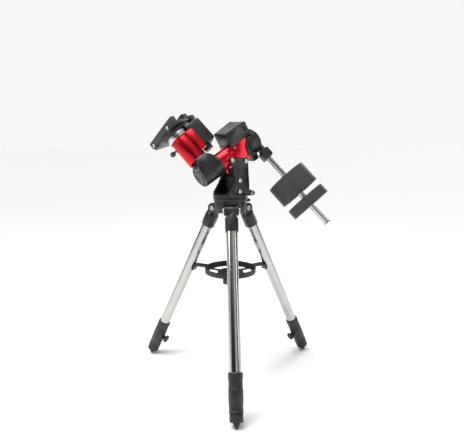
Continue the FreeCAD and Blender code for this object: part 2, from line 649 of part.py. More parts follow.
def toothed_wheel(name, frame, radius, bore, start):
    """A worm wheel: shallow straight teeth round a ring, cut as one outline."""
    count = int(size_of("wheel_teeth"))
    depth = 0.8
    rim = size_of(radius)
    corners = []
    for i in range(count):
        for part, reach in ((0.0, rim - depth), (0.2, rim), (0.5, rim), (0.7, rim - depth)):
            turn = 2 * math.pi * (i + part) / count
            corners.append(Vector(reach * math.cos(turn), reach * math.sin(turn), size_of(start)))
    face = Part.Face(Part.makePolygon(corners + corners[:1]))
    teeth = face.extrude(Vector(0, 0, size_of("wheel_width")))
    hole = Part.makeCylinder(size_of(bore), 400, Vector(0, 0, -200))
    wheel = doc.addObject("Part::Feature", name)
    wheel.Shape = teeth.cut(hole)
    keep(name, wheel, frame)


def worm(name, frame, centre, start, end):
    """A worm with its belt pulley on one shaft, lying along Y."""
    ridge_count = 13
    pitch = 2.0
    radius = size_of("worm_radius")
    shaft = size_of("worm_shaft")
    profile = [(0, start), (shaft, start), (shaft, -ridge_count * pitch / 2)]
    for i in range(ridge_count):
        low = (i - ridge_count / 2) * pitch
        profile += [(radius - 1.2, low + 0.3), (radius, low + 0.8), (radius, low + 1.2),
                    (radius - 1.2, low + 1.7)]
    profile += [(shaft, ridge_count * pitch / 2), (shaft, end - 9), ("pulley_large", end - 9),
                ("pulley_large", end), (0, end)]
    lie = Placement(Vector(*centre), Rotation(Vector(0, 0, 1), Vector(0, 1, 0)))
    keep(name, revolved(name, profile), frame.multiply(lie))


def axis_drive(prefix, frame, worm_at, motor_at):
    """The drive of one axis: stepper motor, its pulley, the belt, and the worm with its own pulley."""
    far = size_of("box_half") - size_of("wall") - 0.3
    worm(prefix + "_worm", frame, worm_at, -size_of("lug_far") + 0.5, far)
    across, _, along = motor_at
    half = size_of("motor_side") / 2
    can = box(prefix + "_motor_can", (across - half, -31, along - half), (across + half, 20, along + half))
    bore = cylinder(prefix + "_motor_bore", 2.6, 80, (across, -26, along), "y")
    keep(prefix + "_motor", cut(prefix + "_motor_made", can, [bore]), frame)
    shaft = cylinder(prefix + "_pulley_shaft", 2.5, far + 20, (across, -20, along), "y")
    drum = cylinder(prefix + "_pulley_drum", "pulley_small", 9, (across, far - 9, along), "y")
    keep(prefix + "_motor_pulley", fuse(prefix + "_motor_pulley_made", [shaft, drum]), frame)
    belt_loop(prefix + "_belt", frame, worm_at, motor_at, far - 8, far - 1)


def worm_lugs(name, low, high):
    """Two lugs, one at each end of a worm, between two corners given without their Y."""
    return [box("%s_lug_%d" % (name, i), (low[0], start, low[1]), (high[0], end, high[1]))
            for i, (start, end) in enumerate((("-lug_far", "-lug_near"), ("lug_near", "lug_far")))]


def belt_loop(name, frame, large_at, small_at, start, end):
    """The toothed belt as a closed band that just clears both pulleys."""
    gap = size_of("fit_gap")
    loops = []
    for extra in (gap + 1.4, gap):
        loops.append(Part.Face(belt_wire(large_at, small_at, size_of("pulley_large") + extra,
                                         size_of("pulley_small") + extra, start)))
    band = loops[0].cut(loops[1]).extrude(Vector(0, end - start, 0))
    belt = doc.addObject("Part::Feature", name)
    belt.Shape = band
    keep(name, belt, frame)


def belt_wire(large_at, small_at, large, small, level):
    """Two arcs and their two outer tangents, in the plane Y = level."""
    big = Vector(large_at[0], level, large_at[2])
    little = Vector(small_at[0], level, small_at[2])
    way = (little - big).normalize()
    across = Vector(-way.z, 0, way.x)
    distance = (little - big).Length
    lean = math.asin((large - small) / distance)
    up = across * math.cos(lean) + way * math.sin(lean)
    down = across * -math.cos(lean) + way * math.sin(lean)
    return Part.Wire([
        Part.LineSegment(big + up * large, little + up * small).toShape(),
        Part.Arc(little + up * small, little + way * small, little + down * small).toShape(),
        Part.LineSegment(little + down * small, big + down * large).toShape(),
        Part.Arc(big + down * large, big - way * large, big + up * large).toShape()])


CASE_SKIRT = [
    # Up from the polar axis and north along it: the lobe that laps over each side of the housing.
    (22, 63), (18, 55), (8, 48), (-5, 46), (-22, 47), (-32, 52), (-34, 63)]


def polar_gear_case():
    """The black gear case: a drum with side lobes, a clutch lug below and two lugs for the worm."""
    drum = cylinder("polar_case_drum", "case_radius", "case_north - case_south", (0, 0, "case_south"))
    lug = box("polar_case_lug", ("-case_radius - 14", -20, "case_south + 2"),
              ("-case_radius + 14", 22, "case_north - 2"))
    lobes = []
    for side, level in (("east", "-housing_half - 3"), ("west", "housing_half + part_gap")):
        lobe = new_body("polar_case_lobe_" + side)
        add_pad(lobe, "polar_case_lobe_%s_pad" % side, "XZ_Plane",
                lambda sketch: outline(sketch, CASE_SKIRT), level, "3 - part_gap")
        lobes.append(lobe)
    ears = worm_lugs("polar_case", (38, "worm_station - 8"), ("worm_height + 7", "worm_station + 8"))
    solid = fuse("polar_case_solid", [drum, lug] + lobes + ears)
    tools = [
        cylinder("polar_case_cavity", "case_cavity", "case_north", (0, 0, "case_south + 4")),
        cylinder("polar_case_bore", "bearing_radius", "case_north", (0, 0, "case_south - 1")),
        box("polar_case_window", (30, "-lug_near", "wheel_south - 2"), (60, "lug_near", "wheel_north + 2")),
        box("polar_case_belt_gap", (30, "lug_far", "case_south - 2"), (60, "lug_far + 11", "case_north")),
        cylinder("polar_case_worm_bore", "worm_shaft + fit_gap", 60, ("worm_height", -30, "worm_station"),
                 "y"),
        cylinder("polar_case_clutch_hole", "bolt_radius + fit_gap", 14, (-51, -21, 76), "y")]
    keep("polar_gear_case", cut("polar_case_finished", solid, tools), POLAR)


def clutch_knob(name, frame, centre, along, radius):
    """A clutch knob: a waisted round grip on a short stem."""
    grip = cylinder(name + "_grip", radius, 12, (0, 0, 7))
    nose = cone(name + "_nose", radius, radius - 3, 3, (0, 0, 19))
    stem = cylinder(name + "_stem", "bolt_radius", 17, (0, 0, -10))
    lie = Placement(centre, Rotation(Vector(0, 0, 1), along))
    keep(name, fuse(name + "_solid", [grip, nose, stem]), frame.multiply(lie))


def drive_box(name, low, high, half, start, end):
    """An open-bottomed shell for motor and belt, as an outer and an inner block."""
    blocks = []
    for part, inset, mouth in (("outer", "0", "0"), ("inner", "wall", "1")):
        body = new_body("%s_%s" % (name, part))
        add_pad(body, "%s_%s_pad" % (name, part), "XZ_Plane", lambda sketch: outline(sketch, [
            ("%s - %s" % (low, mouth), "%s + %s" % (start, inset)),
            ("%s - 3 - %s" % (high, inset), "%s + %s" % (start, inset)),
            ("%s - %s" % (high, inset), "%s + 3 + %s" % (start, inset)),
            ("%s - %s" % (high, inset), "%s - 3 - %s" % (end, inset)),
            ("%s - 3 - %s" % (high, inset), "%s - %s" % (end, inset)),
            ("%s - %s" % (low, mouth), "%s - %s" % (end, inset))]),
            "-%s + %s" % (half, inset), "2 * %s - 2 * %s" % (half, inset))
        blocks.append(body)
    return blocks


def polar_drive_cover():
    """The black box over the polar motor: seated on the gear case, with a recess for the sockets."""
    outer, inner = drive_box("polar_box", "box_low", "box_high", "box_half", "box_south", "box_north")
    flare = new_body("polar_box_flare")
    add_pad(flare, "polar_box_flare_pad", "YZ_Plane", lambda sketch: outline(sketch, [
        ("-box_half + 1", "box_south + 0.5"), ("-box_half", "box_south + 0.5"),
        ("-box_half - box_flare", "box_north"), ("-box_half + 1", "box_north")]),
        "box_low", "box_high - box_low - 0.5")
    seat = cylinder("polar_box_seat", "case_radius + part_gap", 60, (0, 0, "case_south - part_gap"))
    recess = box("polar_box_recess", ("box_high - 30", "box_half - 1.6", "box_north - 22"),
                 ("box_high - 9", "box_half + 4", "box_north - 9"))
    sockets = [cylinder("polar_box_socket_%d" % i, 3, 10,
                        ("box_high - %s" % step, "box_half - 6", "box_north - 15.5"), "y")
               for i, step in enumerate((14.5, 24.5))]
    cover = cut("polar_box_finished", fuse("polar_box_solid", [outer, flare]),
                [inner, seat, recess] + sockets)
    keep("polar_drive_cover", cover, POLAR)


def counterweight_hub():
    """The black hub on the north end of the polar shaft: it closes the gear case and holds the weights."""
    flange = cylinder("axis_hub_flange", "case_radius", 4, (0, 0, "hub_south - 4"))
    hub = cylinder("axis_hub_drum", "axis_hub_radius", "hub_north - hub_south", (0, 0, "hub_south"))
    nose = cylinder("axis_hub_nose", "axis_hub_radius - 8", 6, (0, 0, "hub_north"))
    pocket = cylinder("axis_hub_pocket", "shaft_radius", 15, (0, 0, "hub_south - 4"))
    sight = cylinder("axis_hub_sight", "shaft_bore", 60, (0, 0, "hub_south - 4"))
    keep("counterweight_hub", cut("axis_hub_finished", fuse("axis_hub_solid", [flange, hub, nose]),
                                  [pocket, sight]), POLAR)


# ---------------------------------------------------------------- counterweights

def weight_holder():
    """The clamp block that holds the counterweight bar, on a root that sits on the hub's rim."""
    name = "weight_holder"
    body = new_body(name)
    add_pad(body, name + "_block", "XZ_Plane", lambda sketch: outline(sketch, [
        (-6, 20), (6, 20), (6, "holder_step"), ("holder_half", "holder_step + 4"),
        ("holder_half", "holder_end - 6"), ("holder_half - 6", "holder_end"),
        ("-holder_half + 2", "holder_end"), ("-holder_half", "holder_end - 2"),
        ("-holder_half", "holder_step + 8"), (-6, "holder_step")]),
        "-holder_half", "2 * holder_half")
    add_pocket(body, name + "_bore", "XY_Plane", lambda sketch: ring_in(sketch, "bar_radius"),
               "bar_start", "holder_end - bar_start")
    rim = cylinder(name + "_rim", "axis_hub_radius", 80, (-40, 0, 0), "x")
    keep("counterweight_holder", cut(name + "_finished", body, [rim]), WEIGHTS)


def weight_bar():
    """The polished steel counterweight bar, threaded for the toe stop at its end."""
    keep("counterweight_bar", tube("weight_bar_made", "bar_radius", 4, "bar_start", "bar_end"), WEIGHTS)


def toe_stop():
    """The screw and washer that keep the weights from sliding off the bar."""
    washer = cylinder("toe_washer", "bar_radius + 3", 4, (0, 0, "bar_end"))
    screw = cylinder("toe_screw", "4 - fit_gap", 20, (0, 0, "bar_end - 20"))
    keep("toe_stop", fuse("toe_stop_solid", [washer, screw]), WEIGHTS)


def counterweight(size):
    """A cast counterweight: a disc with a running bore and a radial hole for its lock screw."""
    start, end = size + "_start", size + "_end"
    name = "weight_" + size
    body = revolved(name, [
        ("bar_radius + fit_gap", start), ("weight_radius - 1.5", start), ("weight_radius", start + " + 1.5"),
        ("weight_radius", end + " - 1.5"), ("weight_radius - 1.5", end), ("bar_radius + fit_gap", end)])
    add_pocket(body, name + "_lock_hole", "XZ_Plane",
               lambda sketch: ring_in(sketch, "bolt_radius + fit_gap", (0, "(%s + %s) / 2" % (start, end))),
               "bar_radius", "weight_radius")
    keep("counterweight_" + size, body, WEIGHTS)


def weight_lock(size):
    """The lock screw of a counterweight, with its round knob outside the rim."""
    name = "weight_lock_" + size
    middle = "(%s_start + %s_end) / 2" % (size, size)
    stem = cylinder(name + "_stem", "bolt_radius", "weight_radius - bar_radius + 5",
                    (0, "-weight_radius - 5", middle), "y")
    knob = cylinder(name + "_knob", 10, 12, (0, "-weight_radius - 16", middle), "y")
    tip_gap = cylinder(name + "_tip", "bar_radius + part_gap", 30, (0, 0, middle + " - 15"))
    keep("counterweight_lock_" + size, cut(name + "_finished", fuse(name + "_solid", [stem, knob]),
                                           [tip_gap]), WEIGHTS)


# ---------------------------------------------------------------- declination axis

HEAD_OUTLINE = [
    # South of the declination axis and up it towards the saddle.
    ("-head_half", "head_low"), ("head_south", "head_low"), ("head_south", 23), ("head_half - 13", 37),
    (20, "head_high"), (-20, "head_high"), (-26, 44), ("-head_half", 30)]


def axis_head():
    """The black casting that joins the polar shaft to the declination housing."""
    drum = cylinder("head_drum", "head_radius", "head_south - head_north", ("head_north", 0, 0), "x")
    block = new_body("head_block")
    add_pad(block, "head_block_pad", "XZ_Plane", lambda sketch: outline(sketch, HEAD_OUTLINE),
            "-head_radius", "2 * head_radius")
    bore = cylinder("head_bore", "shaft_radius", 200, (-100, 0, 0), "x")
    keep("axis_head", cut("head_finished", fuse("head_solid", [drum, block]), [bore]), DEC)


def head_cover():
    """The flat black cover on the east face of the axis head, with chamfered corners."""
    body = new_body("head_cover")
    add_pad(body, "head_cover_plate", "XZ_Plane", lambda sketch: outline(sketch, HEAD_OUTLINE),
            "-head_radius - 4", 4)
    keep("head_cover", body, DEC)


def polar_end_cap():
    """The round cap on the south end of the polar axis, with a rim and a raised middle."""
    keep("polar_end_cap", revolved("end_cap", [
        (0, 0), ("head_radius", 0), ("head_radius", 3), ("head_radius - 3", 5), ("head_radius - 5", 5),
        ("head_radius - 6", 3), ("shaft_bore + 6", 3), ("shaft_bore + 5", 6), (0, 6)]), END)


def dec_housing():
    """The red declination housing: a tube with a flat-sided flange for the drive box."""
    name = "dec_shell"
    body = new_body(name)
    add_pad(body, name + "_tube", "XY_Plane", lambda sketch: ring_in(sketch, "dec_radius"),
            "dec_low", "dec_high - dec_low")
    add_pad(body, name + "_flange", "XY_Plane", lambda sketch: outline(sketch, [
        (-12, "-dec_radius + 2"), (-23, "-box_half"), ("-dec_box_near + part_gap", "-box_half"),
        ("-dec_box_near + part_gap", "box_half"), (-23, "box_half"), (-12, "dec_radius - 2")]),
        "dec_box_low - 9", "dec_high - dec_box_low + 9")
    add_pocket(body, name + "_bore", "XY_Plane", lambda sketch: ring_in(sketch, "bearing_radius"),
               "dec_low", "dec_high - dec_low")
    belt_gap = box(name + "_belt_gap", (-46, "-box_half + 2.4", "dec_high - 24"),
                   (-29, "-lug_far - 0.5", "dec_high + 1"))
    clutch_hole = put(cylinder(name + "_clutch_hole", "bolt_radius + fit_gap", 20),
                      Placement(DEC_CLUTCH_AT - DEC_CLUTCH_WAY * 12,
                                Rotation(Vector(0, 0, 1), DEC_CLUTCH_WAY)))
    keep("dec_housing", cut(name + "_finished", body, [belt_gap, clutch_hole]), DEC)


DEC_CLUTCH_WAY = Vector(0.66, -0.75, 0).normalize()
DEC_CLUTCH_AT = DEC_CLUTCH_WAY * 44 + Vector(0, 0, 132)


def dec_shaft():
    """The declination shaft, from its lower bearing to the saddle's head."""
    keep("dec_shaft", tube("dec_shaft_made", "dec_shaft_radius", 6, "dec_low + 4", "dec_head_high - 4"),
         DEC)


def dec_gear_case():
    """The bright ring round the declination worm wheel, with a window and two lugs for the worm."""
    ring = cylinder("dec_case_ring", "dec_case_radius", "dec_case_high - dec_case_low",
                    (0, 0, "dec_case_low"))
    ears = worm_lugs("dec_case", ("-dec_worm_reach - 7", "dec_worm_level - 7.5"),
                     (-28, "dec_worm_level + 7.3"))
    tools = [
        cylinder("dec_case_cavity", "dec_wheel_radius + 0.5", 60, (0, 0, "dec_case_low - 10")),
        box("dec_case_window", ("-dec_case_radius - 5", "-lug_near", "dec_worm_level - 6"),
            (-20, "lug_near", "dec_worm_level + 6")),
        cylinder("dec_case_worm_bore", "worm_shaft + fit_gap", 60, ("-dec_worm_reach", -30, "dec_worm_level"),
                 "y")]
    keep("dec_gear_case", cut("dec_case_finished", fuse("dec_case_solid", [ring] + ears), tools), DEC)


def dec_drive_cover():
    """The black box over the declination motor, with a lip over the worm and a round end boss."""
    outer, inner = drive_box("dec_box", "dec_box_near", "dec_box_far", "box_half", "dec_box_low",
                             "dec_box_high")
    lip = box("dec_box_lip", ("dec_box_near - 16", "-box_half", "dec_high + part_gap"),
              ("dec_box_near + 1", "box_half", "dec_box_high"))
    lip_hollow = box("dec_box_lip_hollow", ("dec_box_near - 20", "-box_half + wall", "dec_high - 1"),
                     ("dec_box_near + 5", "box_half - wall", "dec_box_high - wall"))
    boss = cylinder("dec_box_boss", 16, 15, (63, 3, "dec_box_low - 15"))
    clearance = cylinder("dec_box_round", "dec_case_radius + part_gap", 60, (0, 0, "dec_high - 2"))
    cover = cut("dec_box_finished", fuse("dec_box_solid", [outer, lip, boss]),
                [inner, lip_hollow, clearance])
    keep("dec_drive_cover", cover, DEC_BOX)


def dec_head():
    """The black disc on the declination shaft that carries the saddle."""
    keep("dec_head", revolved("dec_head_disc", [
        ("dec_shaft_radius", "dec_head_low"), ("dec_head_radius - 3", "dec_head_low"),
        ("dec_head_radius", "dec_head_low + 3"), ("dec_head_radius", "dec_head_high - 2"),
        ("dec_head_radius - 2", "dec_head_high"), (0, "dec_head_high"),
        (0, "dec_head_high - 4"), ("dec_shaft_radius", "dec_head_high - 4")]), DEC)


# ---------------------------------------------------------------- saddle

SADDLE_BOLTS = (21.0, -70.0)
CLAMP_SPOTS = (47.0, -60.0)


def saddle_base():
    """The saddle's bed with the fixed jaw on its east side, undercut for a dovetail bar."""
    name = "saddle_base"
    body = new_body(name)
    add_pad(body, name + "_bed", "XZ_Plane", lambda sketch: outline(sketch, [
        ("-saddle_half", "dec_head_high"), ("saddle_half - 6", "dec_head_high"),
        ("saddle_half - 6", "saddle_floor - 5"), ("saddle_half", "saddle_floor - 5"),
        ("saddle_half", "saddle_top - 2"), ("saddle_half - 2", "saddle_top"),
        ("dovetail - 5", "saddle_top"), ("dovetail", "saddle_floor"),
        ("-saddle_half", "saddle_floor")]), "-saddle_high", "saddle_high - saddle_low")
    for i, spot in enumerate(SADDLE_BOLTS):
        add_pad(body, "%s_boss_%d" % (name, i), "YZ_Plane",
                lambda sketch: ring_in(sketch, 11, (spot, "dec_head_high + 11")), "saddle_half - 8", 8)
    for i, spot in enumerate(SADDLE_BOLTS):
        add_pocket(body, "%s_bolt_%d" % (name, i), "YZ_Plane",
                   lambda sketch: ring_in(sketch, 3, (spot, "saddle_floor")), "saddle_half - 12", 20)
    for i, spot in enumerate(CLAMP_SPOTS):
        add_pocket(body, "%s_screw_%d" % (name, i), "YZ_Plane",
                   lambda sketch: ring_in(sketch, "bolt_radius", (spot, "saddle_floor - 6")),
                   "-saddle_half - 1", 24)
    keep("saddle_base", body, SADDLE)


def saddle_jaw():
    """The moving jaw that closes on the dovetail bar."""
    name = "saddle_jaw"
    body = new_body(name)
    add_pad(body, name + "_block", "XZ_Plane", lambda sketch: outline(sketch, [
        ("-saddle_half - 12", "dec_head_high + 2"), ("-saddle_half - part_gap", "dec_head_high + 2"),
        ("-saddle_half - part_gap", "saddle_floor + part_gap"), ("-dovetail - 8", "saddle_floor + part_gap"),
        ("-dovetail - 3", "saddle_top"), ("-saddle_half - 10", "saddle_top"),
        ("-saddle_half - 12", "saddle_top - 2")]), "-saddle_high + 2", "saddle_high - saddle_low - 8")
    for i, spot in enumerate(CLAMP_SPOTS):
        add_pocket(body, "%s_screw_%d" % (name, i), "YZ_Plane",
                   lambda sketch: ring_in(sketch, "bolt_radius + fit_gap", (spot, "saddle_floor - 6")),
                   "-saddle_half - 20", 24)
    keep("saddle_jaw", body, SADDLE)


def saddle_bolts():
    """The two bright bolts of the fixed jaw."""
    bolts = []
    for i, spot in enumerate(SADDLE_BOLTS):
        shank = cylinder("saddle_bolt_shank_%d" % i, "3 - fit_gap", 16,
                         ("saddle_half - 12", spot, "saddle_floor"), "x")
        head = cylinder("saddle_bolt_head_%d" % i, 5.5, 4, ("saddle_half", spot, "saddle_floor"), "x")
        bolts.append(fuse("saddle_bolt_%d" % i, [shank, head]))
    keep("saddle_bolts", group("saddle_bolt_group", bolts), SADDLE)


def saddle_knob(i, spot):
    """A clamp knob of the saddle: six lobes on a screw that draws the jaw in."""
    name = "saddle_knob_%d" % (i + 1)
    face = "-saddle_half - 12 - part_gap"
    screw = cylinder(name + "_screw", "bolt_radius - fit_gap", 30, ("-saddle_half - 13", spot,
                                                                   "saddle_floor - 6"), "x")
    core = cylinder(name + "_core", 12, 24, (face + " - 24", spot, "saddle_floor - 6"), "x")
    lobes = []
    for lobe in range(6):
        turn = math.radians(60 * lobe)
        lobes.append(cylinder("%s_lobe_%d" % (name, lobe), 4.5, 24, (
            face + " - 24", "%.6f" % (spot + 11 * math.cos(turn)),
            "saddle_floor - 6 + %.6f" % (11 * math.sin(turn))), "x"))
    keep(name, fuse(name + "_solid", [screw, core] + lobes), SADDLE)


END = DEC.multiply(Placement(Vector(size_of("head_south"), 0, 0),
                             Rotation(Vector(0, 0, 1), Vector(1, 0, 0))))
DEC_BOX = DEC.multiply(Placement(Vector(), Rotation(Vector(0, 0, 1), 180)))


# ---------------------------------------------------------------- assembly

def build():
    tripod_hub()
    leg_pivot_bolts()
    for side in LEG_AZIMUTHS:
        leg_bracket(side)
        leg_tube(side)
        leg_extension(side)
        clamp_knob(side)
    spreader_rod()
    spreader_tray()
    spreader_knob()
    azimuth_base()
    azimuth_screws()
    fork_cheeks()
    fork_bolts()
    polar_housing()
    shaft_bearings("polar_bearings", POLAR, "shaft_radius", "bearing_radius", (
        ("housing_south + 6", "housing_south + 6 + bearing_width"),
        ("housing_north - 4 - bearing_width", "housing_north - 4")))
    polar_shaft()
    toothed_wheel("polar_worm_wheel", POLAR, "wheel_radius", "shaft_radius", "wheel_south")
    polar_gear_case()
    axis_drive("polar", POLAR, (size_of("worm_height"), 0, size_of("worm_station")), (61.0, 0, 24.0))
    polar_drive_cover()
    clutch_knob("polar_clutch_knob", POLAR, Vector(-51, -20, 76), Vector(0, -1, 0), 9)
    counterweight_hub()
    weight_holder()
    weight_bar()
    toe_stop()
    for size in ("large", "small"):
        counterweight(size)
        weight_lock(size)
    axis_head()
    head_cover()
    polar_end_cap()
    dec_housing()
    shaft_bearings("dec_bearings", DEC, "dec_shaft_radius", "bearing_radius", (
        ("dec_low + 6", "dec_low + 6 + bearing_width"),
        ("dec_high - 2 - bearing_width", "dec_high - 2")))
    dec_shaft()
    toothed_wheel("dec_worm_wheel", DEC, "dec_wheel_radius", "dec_shaft_radius", "dec_wheel_low")
    dec_gear_case()
    axis_drive("dec", DEC_BOX, (size_of("dec_worm_reach"), 0, size_of("dec_worm_level")), (65.5, 0, 104.0))
    dec_drive_cover()
    clutch_knob("dec_clutch_knob", DEC, DEC_CLUTCH_AT, DEC_CLUTCH_WAY, 9)
    dec_head()
    saddle_base()
    saddle_jaw()
    saddle_bolts()
    for i, spot in enumerate(CLAMP_SPOTS):
        saddle_knob(i, spot)


def check_and_write():
    """Stop on any failed object or shape, then write each sub-part to its own file."""
    doc.recompute()
    for thing in doc.Objects:
        if "Invalid" in thing.State or "Error" in thing.State:
            raise RuntimeError("%s failed: %s" % (thing.Name, thing.State))
    os.makedirs("parts", exist_ok=True)
    for piece in PIECES:
        shape = piece.Shape
        if shape.isNull() or not shape.isValid():
            raise RuntimeError("%s has no valid shape" % piece.Label)
        shape.exportStep("parts/%s.step" % piece.Label)
    print(len(PIECES), "sub-parts written")


build()
check_and_write()
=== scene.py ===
import json
import math

import bmesh
import bpy
from mathutils import Matrix, Vector


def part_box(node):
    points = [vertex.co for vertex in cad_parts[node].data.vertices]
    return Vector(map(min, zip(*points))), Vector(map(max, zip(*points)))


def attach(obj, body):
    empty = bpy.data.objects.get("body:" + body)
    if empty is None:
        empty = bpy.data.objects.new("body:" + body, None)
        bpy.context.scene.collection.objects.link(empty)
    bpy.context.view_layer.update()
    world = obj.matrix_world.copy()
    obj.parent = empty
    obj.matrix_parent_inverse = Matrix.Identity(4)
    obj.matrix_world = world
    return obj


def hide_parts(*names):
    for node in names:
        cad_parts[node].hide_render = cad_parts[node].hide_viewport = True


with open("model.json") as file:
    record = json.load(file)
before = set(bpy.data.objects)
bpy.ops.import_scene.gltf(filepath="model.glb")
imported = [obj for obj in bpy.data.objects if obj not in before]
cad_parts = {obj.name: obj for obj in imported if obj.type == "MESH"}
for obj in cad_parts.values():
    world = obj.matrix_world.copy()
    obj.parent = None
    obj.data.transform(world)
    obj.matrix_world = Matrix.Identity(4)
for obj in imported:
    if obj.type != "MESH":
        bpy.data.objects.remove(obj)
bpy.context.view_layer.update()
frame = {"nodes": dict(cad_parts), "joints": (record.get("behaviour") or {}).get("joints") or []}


# ---------------------------------------------------------------- tripod head
# The head is one aluminium casting with a pair of ears for each leg, powder coated in fine-grained black.
# Its edges are broken by the mould and rubbed a little paler. Hexagon-socket bolts pin the legs in the ears.

joints = {joint["name"]: joint for joint in frame["joints"]}
SIDES = ("north", "east", "west")


def joint_at(name):
    return Vector(joints[name]["pos_m"])


def joint_way(name):
    return Vector(joints[name]["axis"]).normalized()


def frame_at(origin, x_way, z_way):
    """A place with its Z along z_way and its X as near as can be to x_way."""
    z_axis = z_way.normalized()
    y_axis = z_axis.cross(x_way).normalized()
    x_axis = y_axis.cross(z_axis)
    turn = Matrix((x_axis, y_axis, z_axis)).transposed().to_4x4()
    return Matrix.Translation(origin) @ turn


tripod_foot = joint_at("azimuth_turn") * 1.0
tripod_foot.z = 0.0


def new_finish(name):
    finish = bpy.data.materials.new(name)
    finish.use_nodes = True
    return finish, finish.node_tree, finish.node_tree.nodes["Principled BSDF"]


def add_node(tree, kind, settings=None, **inputs):
    """A shader node with its settings, and values or links for its inputs."""
    made = tree.nodes.new(kind)
    for key, value in (settings or {}).items():
        setattr(made, key, value)
    for key, value in inputs.items():
        socket = made.inputs[key.replace("_", " ")]
        if isinstance(value, bpy.types.NodeSocket):
            tree.links.new(value, socket)
        else:
            socket.default_value = value
    return made


def grain_of(tree, scale, detail=4.0, turn=None, stretch=(1, 1, 1)):
    """Noise in the piece's own coordinates, turned and drawn out along one way if asked."""
    place = add_node(tree, "ShaderNodeTexCoord").outputs["Object"]
    if turn is not None:
        turned = add_node(tree, "ShaderNodeMapping", {"vector_type": "POINT"}, Vector=place)
        turned.inputs["Rotation"].default_value = turn.to_3x3().inverted().to_euler()
        place = turned.outputs[0]
    drawn = add_node(tree, "ShaderNodeMapping", {"vector_type": "POINT"}, Vector=place)
    drawn.inputs["Scale"].default_value = stretch
    grain = add_node(tree, "ShaderNodeTexNoise", Vector=drawn.outputs[0], Scale=scale, Detail=detail)
    return grain.outputs["Fac"]


def between(tree, source, low, high, from_low=0.3, from_high=0.7):
    """Spread a texture's middle range over a range of values."""
    return add_node(tree, "ShaderNodeMapRange", Value=source, From_Min=from_low, From_Max=from_high,
                    To_Min=low, To_Max=high).outputs["Result"]


def blend_colours(tree, amount, first, second):
    mix = add_node(tree, "ShaderNodeMix", {"data_type": "RGBA"})
    for socket, value in ((mix.inputs[0], amount), (mix.inputs[6], first), (mix.inputs[7], second)):
        if isinstance(value, bpy.types.NodeSocket):
            tree.links.new(value, socket)
        elif isinstance(value, (int, float)):
            socket.default_value = value
        else:
            socket.default_value = (*value, 1.0)
    return mix.outputs[2]


def edge_wear_and_highlight(tree, reach=0.0011):
    """How far a spot is on a sharp edge, broken up by noise, from 0 to 1: rubbed wear on most coats, a
    painted highlight on the smooth black.
    """
    rounded = add_node(tree, "ShaderNodeBevel", {"samples": 6}, Radius=reach).outputs[0]
    facing = add_node(tree, "ShaderNodeNewGeometry").outputs["Normal"]
    match = add_node(tree, "ShaderNodeVectorMath", {"operation": "DOT_PRODUCT"})
    tree.links.new(rounded, match.inputs[0])
    tree.links.new(facing, match.inputs[1])
    edge = between(tree, match.outputs["Value"], 1.0, 0.0, 0.80, 0.985)
    rub = between(tree, grain_of(tree, 95.0), 0.15, 1.0)
    both = add_node(tree, "ShaderNodeMath", {"operation": "MULTIPLY"})
    tree.links.new(edge, both.inputs[0])
    tree.links.new(rub, both.inputs[1])
    return both.outputs[0]


def raise_bumps(tree, bsdf, height, depth, strength=0.6):
    bump = add_node(tree, "ShaderNodeBump", Height=height, Strength=strength, Distance=depth)
    tree.links.new(bump.outputs[0], bsdf.inputs["Normal"])


def powder_coat(name, colour, edge_colour, roughness=0.42, pimple=900.0):
    """Baked powder over cast metal: fine pimples, cloudy gloss and an edge colour on sharp edges, which is
    rubbed wear on most coats and a painted highlight on the smooth black.
    """
    finish, tree, bsdf = new_finish(name)
    cloud = between(tree, grain_of(tree, 22.0), 0.0, 1.0)
    body = blend_colours(tree, cloud, colour, [part * 1.5 for part in colour])
    tree.links.new(blend_colours(tree, edge_wear_and_highlight(tree), body, edge_colour), bsdf.inputs["Base Color"])
    tree.links.new(between(tree, grain_of(tree, 60.0), roughness - 0.07, roughness + 0.08),
                   bsdf.inputs["Roughness"])
    raise_bumps(tree, bsdf, grain_of(tree, pimple, 2.0), 0.00022)
    bsdf.inputs["Specular IOR Level"].default_value = 0.6
    return finish


def bare_steel(name, colour, roughness, way=None, lines=700.0, depth=0.00004):
    """Bright metal with fine tool lines across the way it was turned or drawn."""
    finish, tree, bsdf = new_finish(name)
    turn = None if way is None else frame_at(Vector(), Vector((0.3, 0.9, 0.2)), way)
    stretch = (1, 1, 1) if way is None else (1, 1, 0.02)
    scratches = grain_of(tree, lines, 3.0, turn, stretch)
    haze = between(tree, grain_of(tree, 30.0), 0.0, 1.0)
    tree.links.new(blend_colours(tree, haze, colour, [part * 0.88 for part in colour]),
                   bsdf.inputs["Base Color"])
    tree.links.new(between(tree, scratches, roughness * 0.75, roughness * 1.3), bsdf.inputs["Roughness"])
    raise_bumps(tree, bsdf, scratches, depth, 0.35)
    bsdf.inputs["Metallic"].default_value = 1.0
    return finish


def softened(node, name, width=0.0009, sharp=34):
    """A copy of a CAD piece with its facets joined and its edges rounded as a mould or a file leaves them."""
    mesh = frame["nodes"][node].data.copy()
    piece = bpy.data.objects.new(name, mesh)
    bpy.context.scene.collection.objects.link(piece)
    shell = bmesh.new()
    shell.from_mesh(mesh)
    bmesh.ops.remove_doubles(shell, verts=shell.verts, dist=1e-6)
    bmesh.ops.dissolve_degenerate(shell, edges=shell.edges, dist=1e-6)
    bmesh.ops.dissolve_limit(shell, angle_limit=math.radians(0.6), verts=shell.verts, edges=shell.edges)
    shell.to_mesh(mesh)
    shell.free()
    edges = piece.modifiers.new("edges", "BEVEL")
    edges.width = width
    edges.segments = 2
    edges.limit_method = "ANGLE"
    edges.angle_limit = math.radians(sharp)
    edges.use_clamp_overlap = True
    edges.harden_normals = False
    return settled(piece, name)


